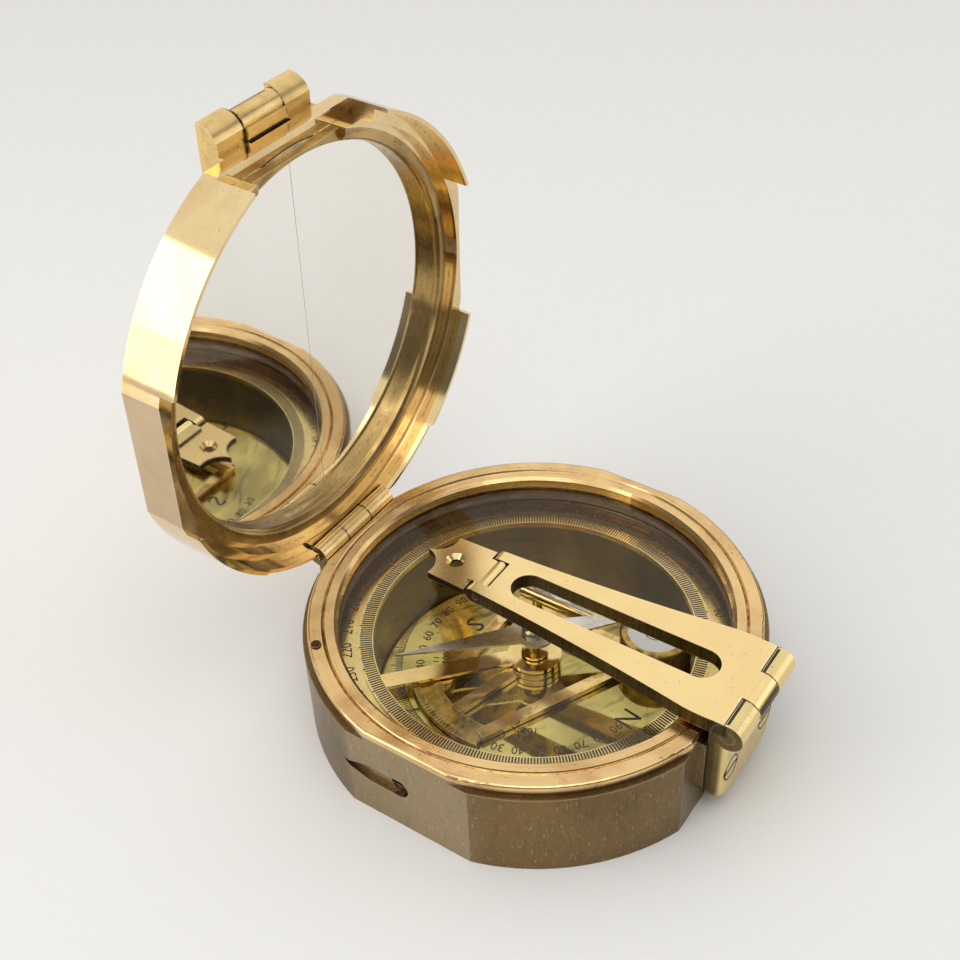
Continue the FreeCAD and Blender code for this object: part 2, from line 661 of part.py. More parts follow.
def long_level_housing():
    """Trough with end caps on two posts, open at the top so that the vial can be read."""
    outer = LONG_VIAL_R + LONG_VIAL_WALL
    y0 = LONG_LEVEL_Y0
    y1 = y0 + LONG_LEVEL_LENGTH
    tube = cylinder(outer, (LONG_LEVEL_X, y0, LONG_VIAL_Z), Y_AXIS, LONG_LEVEL_LENGTH)
    tube = tube.cut(long_level_vial())
    window = box(LONG_LEVEL_X - 0.8 * LONG_VIAL_R, LONG_LEVEL_X + 0.8 * LONG_VIAL_R,
                 y0 + 2 * LONG_LEVEL_CAP, y1 - 2 * LONG_LEVEL_CAP, LONG_VIAL_Z,
                 LONG_VIAL_Z + outer)
    tube = tube.cut(window)
    reach = LONG_VIAL_Z - 0.5 * (LONG_VIAL_R + outer)
    feet = [post(LONG_LEVEL_POST_R, ARM_PLATE_TOP, reach, LONG_LEVEL_X, y)
            for y in (y0 + LONG_LEVEL_POST_IN, y1 - LONG_LEVEL_POST_IN)]
    return joined(tube, feet)


def long_level_vial():
    return cylinder(LONG_VIAL_R, (LONG_LEVEL_X, LONG_LEVEL_Y0 + LONG_LEVEL_CAP, LONG_VIAL_Z),
                    Y_AXIS, LONG_LEVEL_LENGTH - 2 * LONG_LEVEL_CAP)


def round_level_housing():
    cup = post(ROUND_LEVEL_R, ARM_PLATE_TOP, ROUND_LEVEL_TOP, ROUND_LEVEL_X, ROUND_LEVEL_Y)
    edge = [e for e in cup.Edges if e.BoundBox.ZMin > ROUND_LEVEL_TOP - 0.01]
    cup = cup.makeFillet(ROUND_LEVEL_EDGE, edge)
    return cup.cut(post(ROUND_GLASS_R, ROUND_LEVEL_TOP - ROUND_GLASS_DEPTH, ROUND_LEVEL_TOP,
                        ROUND_LEVEL_X, ROUND_LEVEL_Y))


def round_level_vial():
    return post(ROUND_GLASS_R, ROUND_LEVEL_TOP - ROUND_GLASS_DEPTH,
                ROUND_LEVEL_TOP - ROUND_GLASS_SUNK, ROUND_LEVEL_X, ROUND_LEVEL_Y)


def pivot_pin():
    """Needle pivot, pointed at the top."""
    neck = PIVOT_TIP_Z - 1.2
    return turned([(0, ARM_PLATE_Z), (PIVOT_R, ARM_PLATE_Z), (PIVOT_R, neck), (0.04, PIVOT_TIP_Z),
                   (0, PIVOT_TIP_Z)])


# ---------------------------------------------------------------- needle and its lift
def compass_needle():
    half = 0.5 * NEEDLE_LENGTH
    w = NEEDLE_HALF_WIDTH
    blade = flat_shape(NEEDLE_Z, NEEDLE_THICK, (-half, 0), (-0.3 * half, -0.8 * w), (0, -w),
                       (0.3 * half, -0.8 * w), (half, 0), (0.3 * half, 0.8 * w), (0, w),
                       (-0.3 * half, 0.8 * w), (-half, 0))
    blade = joined(blade, [post(NEEDLE_HUB_R, NEEDLE_Z, NEEDLE_Z + NEEDLE_THICK)])
    return at_angle(blade.cut(post(CAP_R, NEEDLE_Z, NEEDLE_Z + NEEDLE_THICK)), NEEDLE_ANGLE)


def needle_cap():
    """Domed bearing cap with a blind bore that sits on the pivot."""
    wall_top = NEEDLE_Z + NEEDLE_THICK + 0.4
    rise = CAP_TOP - wall_top
    ball_r = (CAP_R ** 2 + rise ** 2) / (2 * rise)
    ball = Part.makeSphere(ball_r, Vector(0, 0, CAP_TOP - ball_r))
    dome = post(CAP_R, wall_top, CAP_TOP).common(ball)
    cap = joined(post(CAP_R, NEEDLE_Z, wall_top), [dome])
    return cap.cut(post(CAP_BORE_R, NEEDLE_Z, PIVOT_TIP_Z + SLIDE_GAP))


def lift_collar():
    return ring(COLLAR_R, PIVOT_R + RUNNING, COLLAR_BOTTOM, COLLAR_BOTTOM + COLLAR_HEIGHT)


def lift_pin():
    x, y = lift_pin_place()
    base = LEVER_Z + LEVER_THICK + RUNNING
    stem = post(LIFT_PIN_R, base, BEZEL_TOP + LIFT_PIN_PROUD, x, y)
    return joined(stem, [post(LIFT_PIN_HEAD_R - RUNNING, base, base + LIFT_PIN_HEAD, x, y)])


def needle_lift_lever():
    """Rocker from the lift pin, over its fulcrum, to an eye under the needle's collar."""
    half = 0.5 * LEVER_WIDTH
    middle = LEVER_Z + 0.5 * LEVER_THICK
    strip = box(LEVER_EYE_HOLE_R, LIFT_PIN_AT_R + LIFT_PIN_R, -half, half, LEVER_Z,
                LEVER_Z + LEVER_THICK)
    eye = post(LEVER_EYE_R, LEVER_Z, LEVER_Z + LEVER_THICK)
    boss = cylinder(FULCRUM_BOSS_R, (FULCRUM_AT_R, -half, middle), Y_AXIS, LEVER_WIDTH)
    bore = cylinder(FULCRUM_R + RUNNING, (FULCRUM_AT_R, -half, middle), Y_AXIS, LEVER_WIDTH)
    lever = joined(eye, [strip, boss])
    lever = lever.cut(post(LEVER_EYE_HOLE_R, LEVER_Z, LEVER_Z + LEVER_THICK)).cut(bore)
    return at_angle(lever, LIFT_PIN_ANGLE)


# ---------------------------------------------------------------- sight arm
def sight_hinge_lug():
    """Plate on the case pad with the two outer knuckles of the sight hinge."""
    top = ARM_BOTTOM - SWING_GAP
    plate = lug_face(LUG_HALF, LUG_BOTTOM, LUG_OUTER_Y, LUG_THICK, top)
    front = [e for e in plate.Edges
             if e.BoundBox.YMax < LUG_OUTER_Y + 0.01 and e.BoundBox.ZMin < top - 0.01]
    plate = plate.makeFillet(LUG_EDGE_ROUND, front)
    inner = SIGHT_KNUCKLE_HALF + KNUCKLE_GAP
    barrel = cross_bar(SIGHT_BARREL_R, -LUG_HALF, LUG_HALF, SIGHT_HINGE_Y, SIGHT_HINGE_Z)
    shape = joined(plate, [barrel])
    reach = SIGHT_BARREL_R + SWING_GAP
    gap = box(-inner, inner, SIGHT_HINGE_Y - reach, LUG_INNER_Y, SIGHT_HINGE_Z - reach,
              SIGHT_HINGE_Z + reach)
    shape = shape.cut(gap)
    shape = shape.cut(cross_bar(SIGHT_PIN_R + RUNNING, -LUG_HALF, LUG_HALF, SIGHT_HINGE_Y,
                                SIGHT_HINGE_Z))
    for x in (-LUG_SCREW_X, LUG_SCREW_X):
        start = (x, LUG_OUTER_Y, LUG_SCREW_Z)
        shape = shape.cut(cylinder(LUG_SCREW_R, start, Y_AXIS, 0.5 * LUG_THICK))
        shape = shape.cut(cylinder(0.5 * LUG_SCREW_R, start, Y_AXIS, LUG_THICK))
    return shape


def lug_screws():
    head = 0.5 * LUG_THICK
    shank = 0.5 * LUG_THICK + 1.5 * PAD_THICK
    screws = [slotted_screw(LUG_SCREW_R, head, (x, LUG_OUTER_Y, LUG_SCREW_Z), Y_AXIS,
                            0.5 * LUG_SCREW_R, shank, X_AXIS)
              for x in (-LUG_SCREW_X, LUG_SCREW_X)]
    return Part.makeCompound(screws)


def domed_pin(radius, half, y, z):
    """Plain pin with slightly domed ends."""
    pin = cross_bar(radius, -half, half, y, z)
    ends = [e for e in pin.Edges if e.Length < 7 * radius and e.BoundBox.XLength < 0.01]
    return pin.makeFillet(0.4 * radius, ends)


def sight_hinge_pin():
    """Plain pin, filed flush with the knuckles."""
    return cross_bar(SIGHT_PIN_R, -LUG_HALF, LUG_HALF, SIGHT_HINGE_Y, SIGHT_HINGE_Z)


def arm_flank(side):
    """The arm's long curved edge as one arc, from the hip to the fork."""
    return ((side * ARM_WAIST_HALF, ARM_WAIST_Y), (side * ARM_FORK_HALF, ARM_FORK_Y))


def sight_arm():
    """Tapering slotted arm with a knuckle at the heel and a fork for the folding tip."""
    heel_bulge = 0.5 * (ARM_HIP_HALF + ARM_HEEL_HALF) + ARM_HEEL_BULGE
    heel_mid_y = 0.5 * (ARM_HIP_Y + ARM_HEEL_Y)
    thick = ARM_TOP - ARM_BOTTOM
    blank = flat_shape(ARM_BOTTOM, thick,
                       (ARM_HIP_HALF, ARM_HIP_Y), arm_flank(1),
                       (-ARM_FORK_HALF, ARM_FORK_Y),
                       ((-ARM_WAIST_HALF, ARM_WAIST_Y), (-ARM_HIP_HALF, ARM_HIP_Y)),
                       ((-heel_bulge, heel_mid_y), (-ARM_HEEL_HALF, ARM_HEEL_Y)),
                       (-ARM_HEEL_HALF, SIGHT_HINGE_Y), (ARM_HEEL_HALF, SIGHT_HINGE_Y),
                       (ARM_HEEL_HALF, ARM_HEEL_Y),
                       ((heel_bulge, heel_mid_y), (ARM_HIP_HALF, ARM_HIP_Y)))
    swing_r = SIGHT_BARREL_R + SWING_GAP
    blank = blank.cut(cross_bar(swing_r, -ARM_HIP_HALF, ARM_HIP_HALF, SIGHT_HINGE_Y, SIGHT_HINGE_Z))
    web = box(-SIGHT_KNUCKLE_HALF, SIGHT_KNUCKLE_HALF, SIGHT_HINGE_Y, SLOT_NEAR_Y,
              ARM_BOTTOM, ARM_TOP)
    barrel = cross_bar(SIGHT_BARREL_R, -SIGHT_KNUCKLE_HALF, SIGHT_KNUCKLE_HALF, SIGHT_HINGE_Y,
                       SIGHT_HINGE_Z)
    arm = joined(blank, [web, barrel])
    arm = arm.cut(cross_bar(SIGHT_PIN_R + RUNNING, -SIGHT_KNUCKLE_HALF, SIGHT_KNUCKLE_HALF,
                            SIGHT_HINGE_Y, SIGHT_HINGE_Z))
    far = SLOT_FAR_Y - SLOT_HALF
    near = SLOT_NEAR_Y + SLOT_HALF
    slot = flat_shape(ARM_BOTTOM, thick, (SLOT_HALF, near), (SLOT_HALF, far),
                      ((0, SLOT_FAR_Y), (-SLOT_HALF, far)), (-SLOT_HALF, near),
                      ((0, SLOT_NEAR_Y), (SLOT_HALF, near)))
    arm = arm.cut(slot)
    fork_half = TIP_TONGUE_HALF + SWING_GAP
    fork_root = TIP_PIN_Y - TIP_TONGUE_R - SWING_GAP
    arm = arm.cut(box(-fork_half, fork_half, fork_root, ARM_FORK_Y, ARM_BOTTOM, ARM_TOP))
    ears = [e for e in arm.Edges
            if e.BoundBox.YMin > ARM_FORK_Y - 0.01 and e.BoundBox.XLength > 1]
    arm = arm.makeFillet(ARM_FORK_ROUND, ears)
    return arm.cut(cross_bar(TIP_PIN_R, -ARM_WAIST_HALF, ARM_WAIST_HALF, TIP_PIN_Y, TIP_PIN_Z))


def arm_tip_pin():
    return cross_bar(TIP_PIN_R, -ARM_FORK_HALF, ARM_FORK_HALF, TIP_PIN_Y, TIP_PIN_Z)


def sight_tip():
    """Folding crown with a sighting hole, on a tongue between the fork's ears."""
    top = TIP_PLATE_BOTTOM + TIP_PLATE_THICK
    scoop_x = 0.36 * TIP_SHOULDER_HALF
    scoop_y = TIP_SHOULDER_Y + 0.16 * (TIP_POINT_Y - TIP_SHOULDER_Y)
    plate = flat_shape(TIP_PLATE_BOTTOM, TIP_PLATE_THICK,
                       (-ARM_FORK_HALF, TIP_PLATE_Y), (ARM_FORK_HALF, TIP_PLATE_Y),
                       (TIP_SHOULDER_HALF, TIP_SHOULDER_Y),
                       ((scoop_x, scoop_y), (0, TIP_POINT_Y)),
                       ((-scoop_x, scoop_y), (-TIP_SHOULDER_HALF, TIP_SHOULDER_Y)),
                       (-ARM_FORK_HALF, TIP_PLATE_Y))
    tongue = box(-TIP_TONGUE_HALF, TIP_TONGUE_HALF, TIP_PIN_Y, TIP_PLATE_Y + TIP_TONGUE_LAP,
                 TIP_PIN_Z - 0.8 * TIP_TONGUE_R, TIP_PIN_Z + 0.8 * TIP_TONGUE_R)
    eye = cross_bar(TIP_TONGUE_R, -TIP_TONGUE_HALF, TIP_TONGUE_HALF, TIP_PIN_Y, TIP_PIN_Z)
    tip = joined(plate, [tongue, eye])
    tip = tip.cut(post(TIP_HOLE_R, TIP_PLATE_BOTTOM, top, 0, TIP_HOLE_Y))
    sink = Part.makeCone(TIP_HOLE_R, TIP_SINK_R, TIP_SINK_R - TIP_HOLE_R,
                         Vector(0, TIP_HOLE_Y, top - TIP_SINK_R + TIP_HOLE_R), Z_AXIS)
    tip = tip.cut(sink)
    return tip.cut(cross_bar(TIP_PIN_R + RUNNING, -TIP_TONGUE_HALF, TIP_TONGUE_HALF, TIP_PIN_Y,
                             TIP_PIN_Z))


# ---------------------------------------------------------------- lid hinge
def case_hinge_leaf():
    """Leaf screwed to the case with the two outer knuckles."""
    inner = LID_KNUCKLE_HALF + KNUCKLE_GAP
    plate = box(-LEAF_HALF, LEAF_HALF, HINGE_FLAT_Y, LEAF_OUTER_Y, LEAF_BOTTOM, LID_HINGE_Z)
    barrel = cross_bar(LID_BARREL_R, -LEAF_HALF, LEAF_HALF, LID_HINGE_Y, LID_HINGE_Z)
    reach = LID_BARREL_R + SWING_GAP
    gap = box(-inner, inner, HINGE_FLAT_Y - reach, LID_HINGE_Y + reach, LID_HINGE_Z - reach,
              LID_HINGE_Z + reach)
    shape = joined(plate, [barrel]).cut(gap)
    shape = shape.cut(cross_bar(LID_PIN_R + RUNNING, -LEAF_HALF, LEAF_HALF, LID_HINGE_Y,
                                LID_HINGE_Z))
    low = [e for e in shape.Edges if e.BoundBox.YLength > 0.9 * LEAF_THICK
           and e.BoundBox.ZMax < LEAF_BOTTOM + 0.01]
    return shape.makeFillet(LEAF_CORNER_R, low)


def leaf_screws(z):
    """Two slotted screws through a leaf, with shallow heads outside it."""
    shank = LEAF_THICK
    return [slotted_screw(LEAF_SCREW_R, LEAF_SCREW_HEAD, (x, LEAF_OUTER_Y + LEAF_SCREW_HEAD, z),
                          -Y_AXIS, 0.6 * LEAF_SCREW_R, shank, X_AXIS)
            for x in (-LEAF_SCREW_X, LEAF_SCREW_X)]


def screw_holes(shape, z):
    for x in (-LEAF_SCREW_X, LEAF_SCREW_X):
        shape = shape.cut(cylinder(0.6 * LEAF_SCREW_R, (x, HINGE_FLAT_Y, z), Y_AXIS, LEAF_THICK))
    return shape


def case_leaf_screw_z():
    return 0.5 * (LEAF_BOTTOM + LID_HINGE_Z - LID_BARREL_R)


def lid_leaf_bottom():
    return LID_HINGE_Z + LID_BARREL_R + 2 * SWING_GAP


def lid_leaf_screw_z():
    return 0.5 * (lid_leaf_bottom() + LID_LEAF_TOP)


def lid_hinge_leaf():
    """Leaf screwed to the lid with the middle knuckle."""
    z0 = lid_leaf_bottom()
    plate = box(-LEAF_HALF, LEAF_HALF, HINGE_FLAT_Y, LEAF_OUTER_Y, z0, LID_LEAF_TOP)
    neck = box(-LID_KNUCKLE_HALF, LID_KNUCKLE_HALF, HINGE_FLAT_Y, LEAF_OUTER_Y, LID_HINGE_Z, z0)
    barrel = cross_bar(LID_BARREL_R, -LID_KNUCKLE_HALF, LID_KNUCKLE_HALF, LID_HINGE_Y, LID_HINGE_Z)
    shape = joined(plate, [neck, barrel])
    shape = shape.cut(cross_bar(LID_PIN_R + RUNNING, -LID_KNUCKLE_HALF, LID_KNUCKLE_HALF,
                                LID_HINGE_Y, LID_HINGE_Z))
    return screw_holes(shape, lid_leaf_screw_z())


# ---------------------------------------------------------------- lid
def lid_gap():
    """What is cut from the sight side so that the lid closes over the arm's heel."""
    return box(-LID_GAP_HALF, LID_GAP_HALF, -CASE_R, LID_GAP_Y, 0, LID_GAP_Z)


def lid_shell():
    """Shallow bowl with thin ears that lap over the bezel at the four corners."""
    shell = case_plan(LID_RIM_Z, LID_BACK_Z)
    ear_z = LID_RIM_Z - EAR_DROP
    ears = case_plan(ear_z, LID_RIM_Z).cut(post(CASE_R - EAR_THICK, ear_z, LID_RIM_Z))
    ears = ears.cut(box(-CASE_R, CASE_R, -EAR_END_Y, EAR_END_Y, ear_z, LID_RIM_Z))
    ears = ears.cut(box(-CASE_R, CASE_R, EAR_HEEL_Y, HINGE_FLAT_Y, ear_z,
                        LID_RIM_Z - EAR_HEEL_DROP))
    shell = joined(shell, [ears])
    shell = shell.cut(post(LID_BOWL_R, LID_RIM_Z, RING_FACE_Z))
    shell = shell.cut(post(RING_OUTER_R + 0.5 * SLIDE_GAP, RING_FACE_Z, MIRROR_Z))
    shell = shell.cut(post(MIRROR_R + SLIDE_GAP, MIRROR_Z, MIRROR_Z + MIRROR_THICK))
    return shell.cut(lid_gap()).cut(lid_barrel_room())


def mirror():
    return post(MIRROR_R, MIRROR_Z, MIRROR_Z + MIRROR_THICK)


def mirror_retaining_ring():
    """Turned ring with a rounded inner edge that holds the mirror in the bowl."""
    outer = RING_OUTER_R
    k = RING_ROUND * (1 - math.sqrt(0.5))
    section = outline(lambda r, z: Vector(r, 0, z), (outer, MIRROR_Z), (RING_INNER_R, MIRROR_Z),
                      (RING_INNER_R, RING_FACE_Z + RING_ROUND),
                      ((RING_INNER_R + k, RING_FACE_Z + k), (RING_INNER_R + RING_ROUND, RING_FACE_Z)),
                      (outer, RING_FACE_Z), (outer, MIRROR_Z))
    shape = section.revolve(Vector(0, 0, 0), Z_AXIS, 360)
    room = ARM_HIP_HALF + 2 * RIM_GAP
    arm_room = box(-room, room, -CASE_R, 0, RING_FACE_Z, ARM_TOP + RIM_GAP)
    return shape.cut(lid_gap()).cut(arm_room)


# ---------------------------------------------------------------- folding peep sight on the lid
def peep_point(out, up):
    """A side-view point (y, z) from the distances beyond the lid's edge and above its back."""
    return (SIGHT_FLAT_Y - out, LID_BACK_Z + up)


def peep_hinge_base():
    """Two cheeks on the lid's back, each with an overhanging nose and a long tapering heel."""
    chin_x = PEEP_PIN_OUT + 0.72 * (PEEP_CHEEK_OVERHANG - PEEP_PIN_OUT)
    chin_z = PEEP_CHEEK_STEP + 0.36 * (PEEP_CHEEK_HEIGHT - PEEP_CHEEK_STEP)
    inner = PEEP_EYE_HALF + KNUCKLE_GAP
    cheek = side_shape(inner, PEEP_BASE_HALF,
                       peep_point(0, 0),
                       peep_point(0, PEEP_CHEEK_STEP),
                       peep_point(PEEP_PIN_OUT, PEEP_CHEEK_STEP),
                       (peep_point(chin_x, chin_z),
                        peep_point(PEEP_CHEEK_OVERHANG, PEEP_CHEEK_HEIGHT)),
                       peep_point(-PEEP_CHEEK_BACK, PEEP_CHEEK_HEIGHT),
                       peep_point(-PEEP_BASE_REACH, PEEP_CHEEK_HEEL),
                       peep_point(-PEEP_BASE_REACH, 0),
                       peep_point(0, 0))
    y, z = peep_point(PEEP_PIN_OUT, PEEP_PIN_UP)
    cheek = cheek.cut(cross_bar(PEEP_PIN_R, inner, 0.5 * (inner + PEEP_BASE_HALF), y, z))
    strap = box(-inner, inner, SIGHT_FLAT_Y + PEEP_CHEEK_BACK, SIGHT_FLAT_Y + PEEP_BASE_REACH,
                LID_BACK_Z, LID_BACK_Z + PEEP_STRAP)
    cheeks = both_sides(cheek)
    return joined(cheeks[0], [cheeks[1], strap])


def peep_hinge_pin():
    """Pin through the leaf's barrel, blind in both cheeks."""
    y, z = peep_point(PEEP_PIN_OUT, PEEP_PIN_UP)
    half = 0.5 * (PEEP_EYE_HALF + KNUCKLE_GAP + PEEP_BASE_HALF)
    return cross_bar(PEEP_PIN_R, -half, half, y, z)


def lid_peep_sight():
    """Leaf folded flat on the lid's back, with a peep hole and a sighting slot."""
    y, z = peep_point(PEEP_PIN_OUT, PEEP_PIN_UP)
    z0 = LID_BACK_Z + PEEP_STRAP + SWING_GAP
    narrow_end = SIGHT_FLAT_Y + PEEP_BASE_REACH + PEEP_LEAF_SHOULDER
    far = SIGHT_FLAT_Y + PEEP_LEAF_LENGTH
    eye = PEEP_EYE_HALF
    half = PEEP_LEAF_HALF
    r = 0.6 * half
    bend = r * (1 - math.sqrt(0.5))
    leaf = flat_shape(z0, PEEP_LEAF_THICK, (-eye, y), (eye, y), (eye, narrow_end),
                      (half, narrow_end + 2 * PEEP_LEAF_SHOULDER), (half, far - r),
                      ((half - bend, far - bend), (half - r, far)), (r - half, far),
                      ((bend - half, far - bend), (-half, far - r)),
                      (-half, narrow_end + 2 * PEEP_LEAF_SHOULDER), (-eye, narrow_end), (-eye, y))
    barrel = cross_bar(PEEP_BARREL_R, -eye, eye, y, z)
    leaf = joined(leaf, [barrel])
    leaf = leaf.cut(cross_bar(PEEP_PIN_R + RUNNING, -eye, eye, y, z))
    hole_y = SIGHT_FLAT_Y + PEEP_HOLE_BACK
    leaf = leaf.cut(post(PEEP_HOLE_R, z0, z0 + PEEP_LEAF_THICK, 0, hole_y))
    slot_end = hole_y - 2 * PEEP_HOLE_R
    return leaf.cut(box(-PEEP_SLOT_HALF, PEEP_SLOT_HALF, slot_end - PEEP_SLOT_LENGTH, slot_end,
                        z0, z0 + PEEP_LEAF_THICK))


# ---------------------------------------------------------------- output
def all_parts():
    return {
        "case_body": case_body(),
        "bezel_ring": bezel_ring(),
        "window_glass": window_glass(),
        "glass_seal": glass_seal(),
        "dial_support_ring": dial_support_ring(),
        "graduated_circle": graduated_circle(),
        "adjusting_screw": adjusting_screw(),
        "scale_plate": scale_plate(),
        "scale_plate_screws": scale_plate_screws(),
        "clinometer_axle": clinometer_axle(),
        "clinometer_lever": clinometer_lever(),
        "spring_washer": spring_washer(),
        "vernier_arm": vernier_arm(),
        "long_level_housing": long_level_housing(),
        "long_level_vial": long_level_vial(),
        "round_level_housing": round_level_housing(),
        "round_level_vial": round_level_vial(),
        "pivot_pin": pivot_pin(),
        "compass_needle": compass_needle(),
        "needle_cap": needle_cap(),
        "lift_collar": lift_collar(),
        "lift_pin": lift_pin(),
        "needle_lift_lever": needle_lift_lever(),
        "sight_hinge_lug": sight_hinge_lug(),
        "lug_screws": lug_screws(),
        "sight_hinge_pin": sight_hinge_pin(),
        "sight_arm": sight_arm(),
        "arm_tip_pin": arm_tip_pin(),
        "sight_tip": sight_tip(),
        "case_hinge_leaf": screw_holes(case_hinge_leaf(), case_leaf_screw_z()),
        "case_leaf_screws": Part.makeCompound(leaf_screws(case_leaf_screw_z())),
        "lid_hinge_pin": domed_pin(LID_PIN_R, LEAF_HALF + LID_PIN_PROUD, LID_HINGE_Y,
                                   LID_HINGE_Z),
        "lid_hinge_leaf": opened(lid_hinge_leaf()),
        "lid_leaf_screws": opened(Part.makeCompound(leaf_screws(lid_leaf_screw_z()))),
        "lid_shell": opened(lid_shell()),
        "mirror": opened(mirror()),
        "mirror_retaining_ring": opened(mirror_retaining_ring()),
        "peep_hinge_base": opened(peep_hinge_base()),
        "peep_hinge_pin": opened(peep_hinge_pin()),
        "lid_peep_sight": opened(lid_peep_sight()),
    }


os.makedirs("parts", exist_ok=True)
for name, shape in all_parts().items():
    shape.exportStep("parts/" + name + ".step")
    print(name, len(shape.Solids), round(shape.Volume, 2), shape.isValid())
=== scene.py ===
# %% [markdown]
# # A folding pocket inclinometer in brass
# The object is a small round brass case with a compass dial under glass, a clinometer on the dial's
# floor, a slotted sighting arm on one side and a mirror in the lid. Every solid piece comes in from
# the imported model, at its real size and place. This lesson gives those pieces their finishes, and
# adds what is too fine for a solid: graduations, numbers, a hair line, bubbles and marks of use.

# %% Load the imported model
import json
import math

import bmesh
import bpy
from mathutils import Matrix, Vector


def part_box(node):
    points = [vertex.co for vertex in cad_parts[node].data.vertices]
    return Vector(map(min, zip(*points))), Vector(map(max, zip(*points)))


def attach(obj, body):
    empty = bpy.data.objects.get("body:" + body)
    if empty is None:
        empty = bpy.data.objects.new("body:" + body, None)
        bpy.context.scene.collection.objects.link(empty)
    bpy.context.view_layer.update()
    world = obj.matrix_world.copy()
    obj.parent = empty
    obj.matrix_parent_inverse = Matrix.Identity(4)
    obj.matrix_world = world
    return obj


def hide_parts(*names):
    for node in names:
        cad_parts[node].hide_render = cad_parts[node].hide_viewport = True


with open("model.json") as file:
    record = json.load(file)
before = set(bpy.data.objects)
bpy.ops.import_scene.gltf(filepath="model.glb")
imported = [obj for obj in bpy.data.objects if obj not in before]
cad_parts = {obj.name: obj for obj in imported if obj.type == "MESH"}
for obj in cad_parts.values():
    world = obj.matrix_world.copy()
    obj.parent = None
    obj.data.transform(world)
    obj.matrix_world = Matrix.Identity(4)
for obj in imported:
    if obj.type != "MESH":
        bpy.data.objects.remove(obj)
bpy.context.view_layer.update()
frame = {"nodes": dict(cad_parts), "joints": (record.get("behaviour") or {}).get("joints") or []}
nodes = frame["nodes"]
MM = 0.001

# %% [markdown]
# ## The camera
# A camera is a place and three turns. The turns are given as an azimuth, an elevation and a small
# roll, which are easier to read than a matrix, and the lens sets how strongly the near side of a
# small object grows. A long view would flatten the lid, so this lens stands close.

# %% Camera
CAMERA_SPOT = Vector((-129.90, -82.72, 170.15)) * MM
CAMERA_AZIMUTH = -54.735
CAMERA_ELEVATION = 39.730
CAMERA_ROLL = -2.463
CAMERA_LENS = 53.06

camera_data = bpy.data.cameras.new("camera")
camera_data.lens = CAMERA_LENS
camera_data.clip_start = 1 * MM
camera = bpy.data.objects.new("camera", camera_data)
bpy.context.scene.collection.objects.link(camera)
turn = Matrix.Rotation(math.radians(CAMERA_AZIMUTH), 4, "Z")
tilt = Matrix.Rotation(math.radians(90 - CAMERA_ELEVATION), 4, "X")
roll = Matrix.Rotation(math.radians(CAMERA_ROLL), 4, "Z")
camera.matrix_world = Matrix.Translation(CAMERA_SPOT) @ turn @ tilt @ roll
bpy.context.scene.camera = camera
bpy.context.scene.view_settings.view_transform = "Standard"
print("camera", round(CAMERA_SPOT.length / MM), "mm from the origin, lens", CAMERA_LENS)

# %% [markdown]
# ## Floor and light
# Polished metal has hardly any colour of its own: it shows the room. One even white room makes it
# look like plastic, so the world here is dark grey low down and turns near white at a height that
# drops towards the lid's side, as in a room with a skylight. A flat top then shows the white part,
# and a slope that leans away the dark one. Three soft boxes give the light and its highlights.

# %% Floor
FLOOR_SIZE = 4.0
FLOOR_COLOUR = (0.80, 0.79, 0.77, 1)


def new_material(name):
    """A material, and the Principled shader that is wired to its output."""
    material = bpy.data.materials.new(name)
    material.use_nodes = True
    return material, material.node_tree.nodes["Principled BSDF"]


floor_mesh = bpy.data.meshes.new("floor")
sheet = bmesh.new()
bmesh.ops.create_grid(sheet, x_segments=1, y_segments=1, size=0.5 * FLOOR_SIZE)
sheet.to_mesh(floor_mesh)
sheet.free()
floor = bpy.data.objects.new("floor", floor_mesh)
bpy.context.scene.collection.objects.link(floor)
floor_material, floor_shader = new_material("floor_pale")
floor_shader.inputs["Base Color"].default_value = FLOOR_COLOUR
floor_shader.inputs["Roughness"].default_value = 0.9
floor_shader.inputs["Specular IOR Level"].default_value = 0.2
floor_mesh.materials.append(floor_material)
print("floor", FLOOR_SIZE, "m wide")

# %% World
HORIZON_GREY = (0.22, 0.22, 0.22, 1)
LOWER_GREY = (0.16, 0.16, 0.155, 1)
UPPER_WHITE = (0.96, 0.95, 0.93, 1)
SKY_SLOPE = (0, 0.30, 1)
GREY_FROM, GREY_TO, WHITE_FROM = 0.25, 0.455, 0.475

world = bpy.data.worlds.new("studio")
world.use_nodes = True
bpy.context.scene.world = world
sky = world.node_tree
sky_coords = sky.nodes.new("ShaderNodeTexCoord")
sky_tilt = sky.nodes.new("ShaderNodeVectorMath")
sky_tilt.operation = "DOT_PRODUCT"
sky_tilt.inputs[1].default_value = SKY_SLOPE
sky_ramp = sky.nodes.new("ShaderNodeValToRGB")
stops = sky_ramp.color_ramp.elements
stops[0].color = HORIZON_GREY
stops[-1].color = UPPER_WHITE
for place, colour in ((GREY_FROM, LOWER_GREY), (GREY_TO, LOWER_GREY), (WHITE_FROM, UPPER_WHITE)):
    stops.new(place).color = colour
sky.links.new(sky_coords.outputs["Generated"], sky_tilt.inputs[0])
sky.links.new(sky_tilt.outputs["Value"], sky_ramp.inputs["Fac"])
sky.links.new(sky_ramp.outputs["Color"], sky.nodes["Background"].inputs["Color"])
print("sky stops:", [round(stop.position, 3) for stop in stops])


